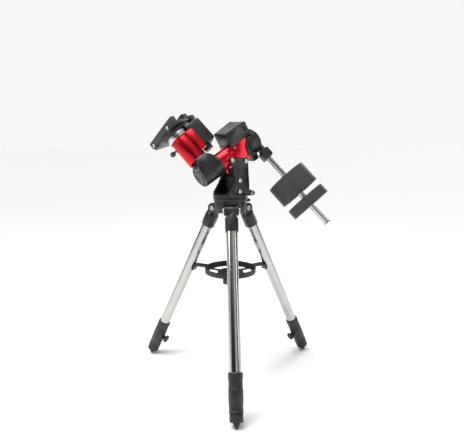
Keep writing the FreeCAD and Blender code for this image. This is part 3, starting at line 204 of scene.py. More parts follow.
def settled(piece, name, smooth=32):
    """The piece with its modifiers turned into plain mesh, shaded smooth up to an angle."""
    graph = bpy.context.evaluated_depsgraph_get()
    mesh = bpy.data.meshes.new_from_object(piece.evaluated_get(graph))
    mesh.name = name
    done = bpy.data.objects.new(name, mesh)
    bpy.context.scene.collection.objects.link(done)
    bpy.data.objects.remove(piece)
    for face in mesh.polygons:
        face.use_smooth = True
    mesh.set_sharp_from_angle(angle=math.radians(smooth))
    return done


def dress(piece, body, finish, slot, *nodes):
    """Give a piece its finish and its body, and let it stand for its CAD nodes."""
    piece.data.materials.clear()
    piece.data.materials.append(finish)
    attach(piece, body)
    if nodes:
        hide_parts(*nodes)
    return piece


black_coat = powder_coat("black_coat", (0.0045, 0.0045, 0.005), (0.060, 0.060, 0.064), 0.36)
dress(softened("tripod_hub", "tripod_head", 0.0013), "tripod", black_coat, "black_casting", "tripod_hub")


def socket_screw_tree(name, finish):
    """Screw heads on the points of a mesh, each turned along the point's way: a chamfered drum with a
    hexagon socket, made of a drum and a cone less a six-sided hole."""
    tree = bpy.data.node_groups.new(name, "GeometryNodeTree")
    face = tree.interface
    face.new_socket("Geometry", in_out="INPUT", socket_type="NodeSocketGeometry")
    for label in ("Head Radius", "Head Height", "Socket Width"):
        face.new_socket(label, in_out="INPUT", socket_type="NodeSocketFloat")
    face.new_socket("Geometry", in_out="OUTPUT", socket_type="NodeSocketGeometry")
    start = tree.nodes.new("NodeGroupInput")
    end = tree.nodes.new("NodeGroupOutput")

    def step(kind, settings=None, **links):
        made = tree.nodes.new(kind)
        for key, value in (settings or {}).items():
            setattr(made, key, value)
        for key, value in links.items():
            socket = made.inputs[key.replace("_", " ")]
            if isinstance(value, bpy.types.NodeSocket):
                tree.links.new(value, socket)
            else:
                socket.default_value = value
        return made

    def sum_of(first, second, operation="ADD"):
        made = tree.nodes.new("ShaderNodeMath")
        made.operation = operation
        for socket, value in zip(made.inputs, (first, second)):
            if isinstance(value, bpy.types.NodeSocket):
                tree.links.new(value, socket)
            else:
                socket.default_value = value
        return made.outputs[0]

    radius, height, width = (start.outputs[label] for label in ("Head Radius", "Head Height", "Socket Width"))
    drum_height = sum_of(height, 0.8, "MULTIPLY")
    top_height = sum_of(height, 0.2, "MULTIPLY")
    drum = step("GeometryNodeMeshCylinder", Vertices=40, Radius=radius, Depth=drum_height)
    lift = step("ShaderNodeCombineXYZ", Z=sum_of(drum_height, 0.5, "MULTIPLY"))
    drum = step("GeometryNodeTransform", Geometry=drum.outputs["Mesh"], Translation=lift.outputs[0])
    top = step("GeometryNodeMeshCone", Vertices=40, Radius_Bottom=radius,
               Radius_Top=sum_of(radius, top_height, "SUBTRACT"), Depth=top_height)
    lift = step("ShaderNodeCombineXYZ", Z=drum_height)
    top = step("GeometryNodeTransform", Geometry=top.outputs["Mesh"], Translation=lift.outputs[0])
    solid = step("GeometryNodeMeshBoolean", {"operation": "UNION", "solver": "EXACT"})
    tree.links.new(drum.outputs[0], solid.inputs["Mesh 2"])
    tree.links.new(top.outputs[0], solid.inputs["Mesh 2"])
    hole = step("GeometryNodeMeshCylinder", Vertices=6, Radius=sum_of(width, 1.732, "DIVIDE"), Depth=height)
    lift = step("ShaderNodeCombineXYZ", Z=sum_of(height, 1.05, "MULTIPLY"))
    hole = step("GeometryNodeTransform", Geometry=hole.outputs["Mesh"], Translation=lift.outputs[0])
    head = step("GeometryNodeMeshBoolean", {"operation": "DIFFERENCE", "solver": "EXACT"})
    tree.links.new(solid.outputs["Mesh"], head.inputs["Mesh 1"])
    tree.links.new(hole.outputs[0], head.inputs["Mesh 2"])
    way = step("GeometryNodeInputNamedAttribute", {"data_type": "FLOAT_VECTOR"}, Name="way")
    turn = step("FunctionNodeAlignRotationToVector", {"axis": "Z"}, Vector=way.outputs["Attribute"])
    placed = step("GeometryNodeInstanceOnPoints", Points=start.outputs["Geometry"],
                  Instance=head.outputs["Mesh"], Rotation=turn.outputs[0])
    real = step("GeometryNodeRealizeInstances", Geometry=placed.outputs[0])
    dressed = step("GeometryNodeSetMaterial", Geometry=real.outputs[0], Material=finish)
    tree.links.new(dressed.outputs[0], end.inputs[0])
    return tree


def grown(name, tree, mesh, **sizes):
    """Run a tree of geometry nodes over a mesh and keep the result as a plain mesh."""
    seed = bpy.data.objects.new(name + "_seed", mesh)
    bpy.context.scene.collection.objects.link(seed)
    modifier = seed.modifiers.new("nodes", "NODES")
    modifier.node_group = tree
    sockets = {item.name: item.identifier for item in tree.interface.items_tree if item.in_out == "INPUT"}
    for label, value in sizes.items():
        modifier[sockets[label.replace("_", " ")]] = value
    return settled(seed, name)


def points_with_ways(name, spots):
    """A mesh of bare points, each with the way it faces."""
    mesh = bpy.data.meshes.new(name)
    mesh.from_pydata([tuple(at) for at, _ in spots], [], [])
    ways = mesh.attributes.new("way", "FLOAT_VECTOR", "POINT")
    for item, (_, way) in zip(ways.data, spots):
        item.vector = way
    return mesh


bright_bolt = bare_steel("bright_bolt", (0.62, 0.62, 0.63), 0.26, None, 420.0)
screw_tree = socket_screw_tree("socket_screws", bright_bolt)
EAR_REACH = 0.0252
spots = []
for side in SIDES:
    pivot, across = joint_at("leg_fold_" + side), joint_way("leg_fold_" + side)
    spots += [(pivot + across * EAR_REACH, across), (pivot - across * EAR_REACH, -across)]
pins = grown("leg_pivot_screws", screw_tree, points_with_ways("pivot_spots", spots), Head_Radius=0.0085,
             Head_Height=0.005, Socket_Width=0.008)
dress(pins, "tripod", bright_bolt, "bright_steel", "leg_pivot_bolts")


def lathe(name, profile, place, sides=96):
    """A solid turned round the place's Z from a closed outline of (radius, height) corners."""
    shell = bmesh.new()
    rings = []
    for radius, height in profile:
        if radius < 1e-6:
            rings.append([shell.verts.new(place @ Vector((0, 0, height)))])
            continue
        turns = [2 * math.pi * i / sides for i in range(sides)]
        rings.append([shell.verts.new(place @ Vector((radius * math.cos(turn), radius * math.sin(turn),
                                                      height))) for turn in turns])
    for here, there in zip(rings, rings[1:] + rings[:1]):
        if len(here) == 1 and len(there) == 1:
            continue
        for i in range(sides):
            j = (i + 1) % sides
            corners = [here[i % len(here)], here[j % len(here)], there[j % len(there)], there[i % len(there)]]
            shell.faces.new(list(dict.fromkeys(corners)))
    bmesh.ops.recalc_face_normals(shell, faces=shell.faces)
    mesh = bpy.data.meshes.new(name)
    shell.to_mesh(mesh)
    shell.free()
    piece = bpy.data.objects.new(name, mesh)
    bpy.context.scene.collection.objects.link(piece)
    return settled(piece, name, 28)


def rounded(profile, corners, reach=0.001, steps=3):
    """An outline with some of its corners turned into short arcs."""
    path = []
    count = len(profile)
    for i, (radius, height) in enumerate(profile):
        if i not in corners:
            path.append((radius, height))
            continue
        here = Vector((radius, height))
        before = (Vector(profile[i - 1]) - here).normalized() * reach
        after = (Vector(profile[(i + 1) % count]) - here).normalized() * reach
        for step in range(steps + 1):
            t = step / steps
            path.append(tuple(here + before * (1 - t) ** 2 + after * t ** 2))
    return path


# The threaded rod holds the mount down on the head and carries the spreader. It is plated steel with a
# rolled thread, so its finish has close ridges across its length.
rod_steel = bare_steel("plated_rod", (0.42, 0.42, 0.43), 0.30)
rod_tree = rod_steel.node_tree
thread = add_node(rod_tree, "ShaderNodeTexWave", {"bands_direction": "Z"},
                  Vector=add_node(rod_tree, "ShaderNodeTexCoord").outputs["Object"], Scale=210.0)
raise_bumps(rod_tree, rod_tree.nodes["Principled BSDF"], thread.outputs["Fac"], 0.0006, 1.0)
frame["nodes"]["spreader_rod"].data.materials.clear()
frame["nodes"]["spreader_rod"].data.materials.append(rod_steel)

# ---------------------------------------------------------------- legs
# Each leg is a polished stainless tube of 38 mm in a cast socket, with a moulded sleeve at its lower end. A
# narrower tube slides in the sleeve and ends in a rubber foot; a lobed knob pinches it. North faces +X.

TUBE = {"radius": 0.01905, "wall": 0.0015, "start": 0.052, "end": 0.560}
SLEEVE = {"start": 0.517, "end": 0.633, "radius": 0.023, "waist": 0.0216, "collar": 0.008}
INNER = {"radius": 0.015875, "wall": 0.0012, "start": 0.165, "end": 0.650}
FOOT = {"start": 0.6336, "shoulder": 0.657, "tip": 0.67475, "radius": 0.021, "tip_radius": 0.004}
KNOB_AT = 0.583

moulded_black = powder_coat("moulded_black", (0.006, 0.006, 0.0065), (0.030, 0.030, 0.032), 0.44, 1400.0)
foot_rubber = powder_coat("foot_rubber", (0.007, 0.007, 0.007), (0.020, 0.020, 0.020), 0.58, 1800.0)


def lobed_drum(name, place, lobes, reach, dip, depth, crown=0.0015, sides=120):
    """A grip with rounded lobes: its outline waves in and out, and both faces roll over at the rim."""
    levels = [(0.0, 0.86), (0.0006, 0.94), (0.0018, 1.0), (depth - 0.0025, 1.0), (depth - 0.0010, 0.95),
              (depth, 0.84), (depth + crown, 0.45)]
    shell = bmesh.new()
    rings = []
    for height, share in levels:
        ring = []
        for i in range(sides):
            turn = 2 * math.pi * i / sides
            wave = 0.5 + 0.5 * math.cos(lobes * turn)
            radius = (reach - dip * (1 - wave ** 0.6)) * share
            ring.append(shell.verts.new(place @ Vector((radius * math.cos(turn), radius * math.sin(turn),
                                                        height))))
        rings.append(ring)
    for lower, upper in zip(rings, rings[1:]):
        for i in range(sides):
            j = (i + 1) % sides
            shell.faces.new((lower[i], lower[j], upper[j], upper[i]))
    shell.faces.new(list(reversed(rings[0])))
    middle = shell.verts.new(place @ Vector((0, 0, depth + crown)))
    for i in range(sides):
        shell.faces.new((rings[-1][i], rings[-1][(i + 1) % sides], middle))
    bmesh.ops.recalc_face_normals(shell, faces=shell.faces)
    mesh = bpy.data.meshes.new(name)
    shell.to_mesh(mesh)
    shell.free()
    piece = bpy.data.objects.new(name, mesh)
    bpy.context.scene.collection.objects.link(piece)
    return settled(piece, name, 40)


def one_piece(name, *parts):
    """Several meshes as one object."""
    shell = bmesh.new()
    for part in parts:
        shell.from_mesh(part.data)
    mesh = bpy.data.meshes.new(name)
    shell.to_mesh(mesh)
    shell.free()
    piece = bpy.data.objects.new(name, mesh)
    bpy.context.scene.collection.objects.link(piece)
    for part in parts:
        bpy.data.objects.remove(part)
    return settled(piece, name, 34)


def rib_tree(name, finish):
    """Thin rings stacked evenly along Z from the origin, as moulded grip ribs."""
    tree = bpy.data.node_groups.new(name, "GeometryNodeTree")
    face = tree.interface
    face.new_socket("Geometry", in_out="INPUT", socket_type="NodeSocketGeometry")
    face.new_socket("Rib Radius", in_out="INPUT", socket_type="NodeSocketFloat")
    face.new_socket("Rib Thickness", in_out="INPUT", socket_type="NodeSocketFloat")
    face.new_socket("Geometry", in_out="OUTPUT", socket_type="NodeSocketGeometry")
    start = tree.nodes.new("NodeGroupInput")
    end = tree.nodes.new("NodeGroupOutput")
    path = tree.nodes.new("GeometryNodeCurvePrimitiveCircle")
    path.inputs["Resolution"].default_value = 72
    tree.links.new(start.outputs["Rib Radius"], path.inputs["Radius"])
    section = tree.nodes.new("GeometryNodeCurvePrimitiveCircle")
    section.inputs["Resolution"].default_value = 10
    tree.links.new(start.outputs["Rib Thickness"], section.inputs["Radius"])
    ring = tree.nodes.new("GeometryNodeCurveToMesh")
    tree.links.new(path.outputs["Curve"], ring.inputs["Curve"])
    tree.links.new(section.outputs["Curve"], ring.inputs["Profile Curve"])
    way = tree.nodes.new("GeometryNodeInputNamedAttribute")
    way.data_type = "FLOAT_VECTOR"
    way.inputs["Name"].default_value = "way"
    turn = tree.nodes.new("FunctionNodeAlignRotationToVector")
    turn.axis = "Z"
    tree.links.new(way.outputs["Attribute"], turn.inputs["Vector"])
    placed = tree.nodes.new("GeometryNodeInstanceOnPoints")
    tree.links.new(start.outputs["Geometry"], placed.inputs["Points"])
    tree.links.new(ring.outputs["Mesh"], placed.inputs["Instance"])
    tree.links.new(turn.outputs[0], placed.inputs["Rotation"])
    real = tree.nodes.new("GeometryNodeRealizeInstances")
    tree.links.new(placed.outputs[0], real.inputs[0])
    dressed = tree.nodes.new("GeometryNodeSetMaterial")
    tree.links.new(real.outputs[0], dressed.inputs["Geometry"])
    dressed.inputs["Material"].default_value = finish
    tree.links.new(dressed.outputs[0], end.inputs[0])
    return tree


sleeve_ribs = rib_tree("sleeve_ribs", moulded_black)
foot_ribs = rib_tree("foot_ribs", foot_rubber)
for side in SIDES:
    pivot, across, down = joint_at("leg_fold_" + side), joint_way("leg_fold_" + side), \
        joint_way("leg_slide_" + side)
    inward = across.cross(down)
    leg = frame_at(pivot, inward, down)
    body, lower_body = "leg_" + side, "extension_" + side

    dress(softened("leg_bracket_" + side, "leg_socket_" + side, 0.0012), body, black_coat, "black_casting",
          "leg_bracket_" + side)
    steel = bare_steel("polished_tube_" + side, (0.56, 0.545, 0.52), 0.15, down, 900.0, 0.00002)
    outer, inner = TUBE["radius"], TUBE["radius"] - TUBE["wall"]
    dress(lathe("upper_tube_" + side, [(inner, TUBE["start"]), (outer, TUBE["start"]), (outer, TUBE["end"]),
                                       (inner, TUBE["end"])], leg), body, steel, "polished_steel")

    wall, waist, low, high = SLEEVE["radius"], SLEEVE["waist"], SLEEVE["start"], SLEEVE["end"]
    bore = INNER["radius"] + 0.00005
    turned = lathe("sleeve_turned_" + side, rounded([
        (outer + 0.0001, low), (wall - 0.0012, low), (wall, low + 0.003), (wall, low + 0.020),
        (wall - 0.0012, low + 0.0215), (wall - 0.0012, KNOB_AT - 0.020), (wall, KNOB_AT - 0.0185),
        (wall, KNOB_AT + 0.0185), (wall - 0.001, KNOB_AT + 0.020), (waist, high - 0.008),
        (waist + 0.0008, high - 0.007), (waist + 0.0008, high - 0.001), (waist - 0.001, high),
        (bore, high), (bore, TUBE["end"] + 0.0005), (outer + 0.0001, TUBE["end"] + 0.0005)],
        {1, 2, 9, 12}, 0.0008), leg)
    to_boss = Matrix.Translation(Vector((0, 0, KNOB_AT))) @ frame_at(Vector(), Vector((0, 0, 1)),
                                                                    Vector((1, 0, 0)))
    boss = lathe("sleeve_boss_" + side, rounded([(0.0033, 0.0165), (0.0100, 0.0165), (0.0090, 0.0265),
                                                 (0.0033, 0.0265)], {2}, 0.001), leg @ to_boss, 48)
    spots = [(leg @ Vector((0, 0, low + 0.030 + 0.0045 * i)), down) for i in range(4)]
    ribs = grown("sleeve_ribs_" + side, sleeve_ribs, points_with_ways("rib_spots_" + side, spots),
                 Rib_Radius=wall - 0.0013, Rib_Thickness=0.0008)
    dress(one_piece("leg_sleeve_" + side, turned, boss, ribs), body, moulded_black, "black_plastic",
          "leg_tube_" + side)

    outer, inner = INNER["radius"], INNER["radius"] - INNER["wall"]
    steel = bare_steel("polished_extension_" + side, (0.55, 0.535, 0.51), 0.17, down, 900.0, 0.00002)
    dress(lathe("lower_tube_" + side, [(inner, INNER["start"]), (outer, INNER["start"]),
                                       (outer, INNER["end"]), (inner, INNER["end"])], leg),
          lower_body, steel, "polished_steel")
    wide, start, shoulder, tip = FOOT["radius"], FOOT["start"], FOOT["shoulder"], FOOT["tip"]
    turned = lathe("foot_turned_" + side, rounded([
        (outer + 0.0001, start), (wide - 0.0015, start), (wide, start + 0.002), (wide, shoulder - 0.002),
        (wide - 0.002, shoulder), (wide / 2, shoulder), (wide / 2, shoulder + 0.004),
        (FOOT["tip_radius"], tip - 0.001), (FOOT["tip_radius"] - 0.0015, tip), (0, tip),
        (0, INNER["end"] + 0.0005), (outer + 0.0001, INNER["end"] + 0.0005)], {1, 3, 4, 7}, 0.0008), leg)
    spots = [(leg @ Vector((0, 0, start + 0.0055 + 0.0045 * i)), down) for i in range(4)]
    ribs = grown("foot_ribs_" + side, foot_ribs, points_with_ways("foot_spots_" + side, spots),
                 Rib_Radius=wide - 0.0008, Rib_Thickness=0.0008)
    dress(one_piece("leg_foot_" + side, turned, ribs), lower_body, foot_rubber, "black_plastic",
          "leg_extension_" + side)

    knob_place = leg @ Matrix.Translation(Vector((0.031, 0, KNOB_AT))) @ frame_at(
        Vector(), Vector((0, 0, 1)), Vector((1, 0, 0)))
    grip = lobed_drum("clamp_grip_" + side, knob_place, 5, 0.0148, 0.0042, 0.0100, 0.0008)
    stem = lathe("clamp_stem_" + side, [(0, -0.0148), (0.0029, -0.0148), (0.0029, -0.0045),
                                        (0.0065, -0.0045), (0.0105, 0.0003), (0, 0.0003)], knob_place, 40)
    dress(one_piece("clamp_knob_" + side, grip, stem), "leg_clamp_" + side, moulded_black, "black_plastic",
          "leg_clamp_knob_" + side)


# ---------------------------------------------------------------- spreader
# The tray is a moulded wheel with windows between its spokes and an arm that bears on each leg. The
# lobed nut under it is turned up the rod to push the legs apart.

dress(softened("spreader_tray", "spreader_wheel", 0.0009), "spreader", moulded_black, "black_plastic",
      "spreader_tray")
nut_low, nut_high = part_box("spreader_knob")
nut_depth = nut_high.z - nut_low.z
nut_place = Matrix.Translation(Vector((tripod_foot.x, tripod_foot.y, nut_high.z))) @ Matrix.Rotation(
    math.pi, 4, "X") @ Matrix.Rotation(math.radians(20), 4, "Z")
dress(lobed_drum("spreader_nut_grip", nut_place, 6, 0.0275, 0.0045, nut_depth - 0.0012, 0.0010),
      "spreader_nut", moulded_black, "black_plastic", "spreader_knob")


# ---------------------------------------------------------------- azimuth base and fork
# The grooved ring turns on the head and carries two cast cheeks, bolted to the column between them. A pair
# of thumb screws with straight knurls pinches an upright peg to set the azimuth.

dress(softened("azimuth_base", "turning_base", 0.0010), "azimuth", black_coat, "black_casting",
      "azimuth_base")
dress(softened("fork_cheeks", "fork_plates", 0.0014), "azimuth", black_coat, "black_casting", "fork_cheeks")

cheek_low, cheek_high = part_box("fork_cheeks")
tilt_at = joint_at("altitude_tilt")
bolt_places = [(tilt_at.x, tilt_at.z)] + [
    (tripod_foot.x + along, level) for along, level in ((0.031, 0.774), (0.006, 0.708), (0.006, 0.670))]
spots = []
for along, level in bolt_places:
    for way, face in ((-1, cheek_low.y), (1, cheek_high.y)):
        spots.append((Vector((along, face - way * 0.0003, level)), Vector((0, way, 0))))
cheek_screws = grown("cheek_screws", screw_tree, points_with_ways("cheek_spots", spots), Head_Radius=0.007,
                     Head_Height=0.0063, Socket_Width=0.006)
dress(cheek_screws, "azimuth", bright_bolt, "bright_steel", "fork_bolts")


def knurl_tree(name, finish):
    """Straight ridges round a drum: thin bars on the points of a circle, each turned outwards."""
    tree = bpy.data.node_groups.new(name, "GeometryNodeTree")
    face = tree.interface
    face.new_socket("Geometry", in_out="INPUT", socket_type="NodeSocketGeometry")
    for label, kind in (("Drum Radius", "NodeSocketFloat"), ("Ridge Length", "NodeSocketFloat"),
                        ("Ridge Count", "NodeSocketInt"), ("Ridge Width", "NodeSocketFloat")):
        face.new_socket(label, in_out="INPUT", socket_type=kind)
    face.new_socket("Geometry", in_out="OUTPUT", socket_type="NodeSocketGeometry")
    start = tree.nodes.new("NodeGroupInput")
    end = tree.nodes.new("NodeGroupOutput")
    rim = tree.nodes.new("GeometryNodeMeshCircle")
    tree.links.new(start.outputs["Ridge Count"], rim.inputs["Vertices"])
    tree.links.new(start.outputs["Drum Radius"], rim.inputs["Radius"])
    size = tree.nodes.new("ShaderNodeCombineXYZ")
    tree.links.new(start.outputs["Ridge Width"], size.inputs["X"])
    tree.links.new(start.outputs["Ridge Width"], size.inputs["Y"])
    tree.links.new(start.outputs["Ridge Length"], size.inputs["Z"])
    bar = tree.nodes.new("GeometryNodeMeshCube")
    tree.links.new(size.outputs[0], bar.inputs["Size"])
    ridge = tree.nodes.new("GeometryNodeTransform")
    tree.links.new(bar.outputs["Mesh"], ridge.inputs["Geometry"])
    ridge.inputs["Rotation"].default_value = (0, 0, math.pi / 4)
    spot = tree.nodes.new("GeometryNodeInputPosition")
    out = tree.nodes.new("FunctionNodeAlignRotationToVector")
    out.axis = "X"
    tree.links.new(spot.outputs[0], out.inputs["Vector"])
    row = tree.nodes.new("GeometryNodeInstanceOnPoints")
    tree.links.new(rim.outputs["Mesh"], row.inputs["Points"])
    tree.links.new(ridge.outputs["Geometry"], row.inputs["Instance"])
    tree.links.new(out.outputs[0], row.inputs["Rotation"])
    crown = tree.nodes.new("GeometryNodeRealizeInstances")
    tree.links.new(row.outputs[0], crown.inputs[0])
    way = tree.nodes.new("GeometryNodeInputNamedAttribute")
    way.data_type = "FLOAT_VECTOR"
    way.inputs["Name"].default_value = "way"
    turn = tree.nodes.new("FunctionNodeAlignRotationToVector")
    turn.axis = "Z"
    tree.links.new(way.outputs["Attribute"], turn.inputs["Vector"])
    placed = tree.nodes.new("GeometryNodeInstanceOnPoints")
    tree.links.new(start.outputs["Geometry"], placed.inputs["Points"])
    tree.links.new(crown.outputs[0], placed.inputs["Instance"])
    tree.links.new(turn.outputs[0], placed.inputs["Rotation"])
    real = tree.nodes.new("GeometryNodeRealizeInstances")
    tree.links.new(placed.outputs[0], real.inputs[0])
    dressed = tree.nodes.new("GeometryNodeSetMaterial")
    tree.links.new(real.outputs[0], dressed.inputs["Geometry"])
    dressed.inputs["Material"].default_value = finish
    tree.links.new(dressed.outputs[0], end.inputs[0])
    return tree


bright_knurl = knurl_tree("bright_knurl", bright_bolt)


def thumb_screw(name, tip, way, reach, radius, depth, shank, ridges=36):
    """A bright thumb screw: a shank from its tip, and a knurled head beyond reach."""
    place = frame_at(tip, Vector((0.2, 0.1, 1)), way)
    turned = lathe(name + "_turned", rounded([
        (0, 0), (shank - 0.0005, 0), (shank, 0.0006), (shank, reach), (radius - 0.0006, reach),
        (radius - 0.0003, reach + 0.0008), (radius - 0.0003, reach + depth - 0.0008),
        (radius - 0.0012, reach + depth), (0, reach + depth)], {7}, 0.0004), place, 64)
    spots = [(place @ Vector((0, 0, reach + depth / 2)), way)]
    knurl = grown(name + "_knurl", bright_knurl, points_with_ways(name + "_spot", spots),
                  Drum_Radius=radius - 0.0006, Ridge_Length=depth - 0.0022, Ridge_Count=ridges,
                  Ridge_Width=0.0009)
    return one_piece(name, turned, knurl)


peg_x = tripod_foot.x + 0.068
adjusters = [thumb_screw("azimuth_thumb_" + side, Vector((peg_x, way * 0.0043, 0.660)), Vector((0, way, 0)),
                         0.0287, 0.009, 0.009, 0.004) for side, way in (("east", -1), ("west", 1))]
dress(one_piece("azimuth_thumb_screws", *adjusters), "azimuth_adjusters", bright_bolt, "bright_steel",
      "azimuth_screws")


# ---------------------------------------------------------------- polar axis housing
# A turned and milled aluminium housing, anodised in clear red over a fine blasted surface, tilts between the
# cheeks. Inside it a hollow steel shaft runs in two ball bearings.

polar_way = joint_way("polar_turn")
meridian_up = Vector((0, -1, 0)).cross(polar_way)
polar = frame_at(joint_at("polar_turn"), meridian_up, polar_way)


def anodised(name, colour, deep_colour):
    """Dyed oxide over blasted aluminium: metal showing through a deep colour, with a soft clear skin."""
    finish, tree, bsdf = new_finish(name)
    cloud = between(tree, grain_of(tree, 18.0), 0.0, 1.0)
    body = blend_colours(tree, cloud, colour, deep_colour)
    tree.links.new(blend_colours(tree, edge_wear_and_highlight(tree, 0.0009), body, (0.70, 0.10, 0.11)),
                   bsdf.inputs["Base Color"])
    tree.links.new(between(tree, grain_of(tree, 300.0, 2.0), 0.20, 0.29), bsdf.inputs["Roughness"])
    raise_bumps(tree, bsdf, grain_of(tree, 2600.0, 2.0), 0.00004, 0.5)
    bsdf.inputs["Metallic"].default_value = 0.85
    bsdf.inputs["Coat Weight"].default_value = 0.25
    bsdf.inputs["Coat Roughness"].default_value = 0.2
    return finish


red_skin = anodised("red_skin", (0.60, 0.006, 0.018), (0.48, 0.003, 0.012))
dress(softened("polar_housing", "polar_shell", 0.0012), "altitude", red_skin, "red_anodised",
      "polar_housing")


def refinish(node, finish):
    """Give a CAD piece that stays in sight its own finish."""
    mesh = frame["nodes"][node].data
    mesh.materials.clear()
    mesh.materials.append(finish)


ground_steel = bare_steel("ground_steel", (0.50, 0.50, 0.51), 0.22, polar_way)
refinish("polar_shaft", ground_steel)
refinish("polar_bearings", ground_steel)


# ---------------------------------------------------------------- polar drive
# A cast case holds the brass worm wheel and laps over the housing with a lobe on each side. The worm lies
# over it, driven through a toothed belt by a stepping motor under a folded and painted cover.

dress(softened("polar_gear_case", "polar_gear_casting", 0.0011), "altitude", black_coat, "black_casting",
      "polar_gear_case")
wheel_brass = bare_steel("wheel_brass", (0.62, 0.43, 0.17), 0.28, polar_way, 500.0)
motor_skin = powder_coat("motor_skin", (0.020, 0.020, 0.021), (0.10, 0.10, 0.10), 0.38, 700.0)
belt_rubber = powder_coat("belt_rubber", (0.012, 0.012, 0.012), (0.02, 0.02, 0.02), 0.70, 2000.0)
worm_steel = bare_steel("worm_steel", (0.55, 0.55, 0.56), 0.24, Vector((0, 1, 0)))
for node, finish in (("polar_worm_wheel", wheel_brass), ("polar_motor", motor_skin),
                     ("polar_belt", belt_rubber), ("polar_worm", worm_steel),
                     ("polar_motor_pulley", worm_steel)):
    refinish(node, finish)

cover_paint = powder_coat("cover_paint", (0.006, 0.006, 0.0065), (0.09, 0.09, 0.095), 0.32, 1500.0)
dress(softened("polar_drive_cover", "polar_motor_cover", 0.0012), "altitude", cover_paint, "black_sheet",
      "polar_drive_cover")


def bar(name, place, low, high, width=0.0004):
    """A small slab between two corners of a place, with its edges broken."""
    shell = bmesh.new()
    bmesh.ops.create_cube(shell, size=1.0)
    for corner in shell.verts:
        corner.co = place @ Vector([(a + b) / 2 + part * (b - a) for a, b, part in zip(low, high, corner.co)])
    bmesh.ops.recalc_face_normals(shell, faces=shell.faces)
    bmesh.ops.bevel(shell, geom=shell.edges, offset=width, segments=2, affect="EDGES", clamp_overlap=True)
    mesh = bpy.data.meshes.new(name)
    shell.to_mesh(mesh)
    shell.free()
    piece = bpy.data.objects.new(name, mesh)
    bpy.context.scene.collection.objects.link(piece)
    return settled(piece, name)


# The cover's lid is a separate pale grey plate let in on top, split by the seam of the two halves.
BOX = {"south": -0.0025, "north": 0.088, "half": 0.0385, "high": 0.0855}
lid_paint = powder_coat("lid_paint", (0.085, 0.087, 0.090), (0.22, 0.22, 0.225), 0.30, 1500.0)
seam = BOX["south"] + 0.60 * (BOX["north"] - BOX["south"])
lid_half = BOX["half"] - 0.0042
lids = [bar("lid_" + name, polar, (BOX["high"] - 0.0012, -lid_half, start),
            (BOX["high"] + 0.0006, lid_half, end), 0.0005)
        for name, start, end in (("south", BOX["south"] + 0.0042, seam - 0.0005),
                                 ("north", seam + 0.0005, BOX["north"] - 0.0042))]
dress(one_piece("polar_cover_lid", *lids), "altitude", lid_paint, "black_sheet")
dark_bolt = bare_steel("dark_bolt", (0.12, 0.12, 0.125), 0.34, None, 420.0)
dark_screws = socket_screw_tree("dark_screws", dark_bolt)

# A small square socket for a guiding cable is let into the red housing under the cover's lower
# corner: a bright bezel round a black insert with a round mouth.
white_fill = powder_coat("white_fill", (0.60, 0.60, 0.58), (0.65, 0.65, 0.63), 0.5, 900.0)
SOCKET_AT, SOCKET_HALF = Vector((0.0275, 0.0384, 0.0086)), 0.0036
socket_place = polar @ Matrix.Translation(SOCKET_AT) @ Matrix.Rotation(math.radians(-28), 4, "Y")
bezel = [bar("bezel_%d" % i, socket_place @ Matrix.Rotation(math.radians(90 * i), 4, "Y"),
             (-SOCKET_HALF, -0.0002, SOCKET_HALF - 0.0009), (SOCKET_HALF, 0.0004, SOCKET_HALF), 0.0001)
         for i in range(4)]
dress(one_piece("guide_socket_bezel", *bezel), "altitude", white_fill, "bright_steel")
insert_place = socket_place @ frame_at(Vector(), Vector((1, 0, 0)), Vector((0, 1, 0)))
insert = bar("guide_insert", socket_place, (-SOCKET_HALF + 0.0009, -0.0002, -SOCKET_HALF + 0.0009),
             (SOCKET_HALF - 0.0009, 0.00015, SOCKET_HALF - 0.0009), 0.0001)
mouth = lathe("guide_mouth", rounded([
    (0.0012, -0.0001), (0.0020, -0.0001), (0.0020, 0.0004), (0.0012, 0.0004)],
    {2, 3}, 0.0002), insert_place, 36)
dress(one_piece("guide_socket_insert", insert, mouth), "altitude", moulded_black, "black_plastic")


# ---------------------------------------------------------------- clutches
# Each axis has a clutch knob of turned and grey-painted aluminium with a straight knurl and a domed end.

grey_paint = powder_coat("grey_paint", (0.022, 0.0225, 0.024), (0.14, 0.14, 0.145), 0.36, 1100.0)
grey_knurl = knurl_tree("grey_knurl", grey_paint)


def clutch_grip(name, place, body, node):
    radius, start, depth = 0.009, 0.007, 0.015
    turned = lathe(name + "_turned", rounded([
        (0, -0.010), (0.004, -0.010), (0.004, start), (radius - 0.001, start),
        (radius - 0.0003, start + 0.001),
        (radius - 0.0003, start + 0.011), (radius - 0.0015, start + 0.0125), (radius - 0.003, start + depth),
        (0, start + depth)], {6, 7}, 0.001), place, 64)
    way = place.to_3x3() @ Vector((0, 0, 1))
    knurl = grown(name + "_knurl", grey_knurl,
                  points_with_ways(name + "_spot", [(place @ Vector((0, 0, start + 0.006)), way)]),
                  Drum_Radius=radius - 0.0007, Ridge_Length=0.0090, Ridge_Count=30, Ridge_Width=0.0010)
    dress(one_piece(name, turned, knurl), body, grey_paint, "grey_casting", node)


for prefix in ("polar", "dec"):
    way = joint_way(prefix + "_clutch_turn")
    clutch_grip(prefix + "_clutch_grip", frame_at(joint_at(prefix + "_clutch_turn"), Vector((0.1, 0.2, 1)),
                                                  way), prefix + "_clutch", prefix + "_clutch_knob")


# ---------------------------------------------------------------- counterweight hub, holder and bar
# The black hub on the north end of the polar shaft closes the gear case; short white ticks are filled in
# round its rim. A cast holder on it grips the polished bar, and a toe screw stops the weights.

dress(softened("counterweight_hub", "weight_hub", 0.0010), "polar_axis", black_coat, "black_casting",
      "counterweight_hub")
dress(softened("counterweight_holder", "bar_holder", 0.0016), "polar_axis", black_coat, "black_casting",
      "counterweight_holder")

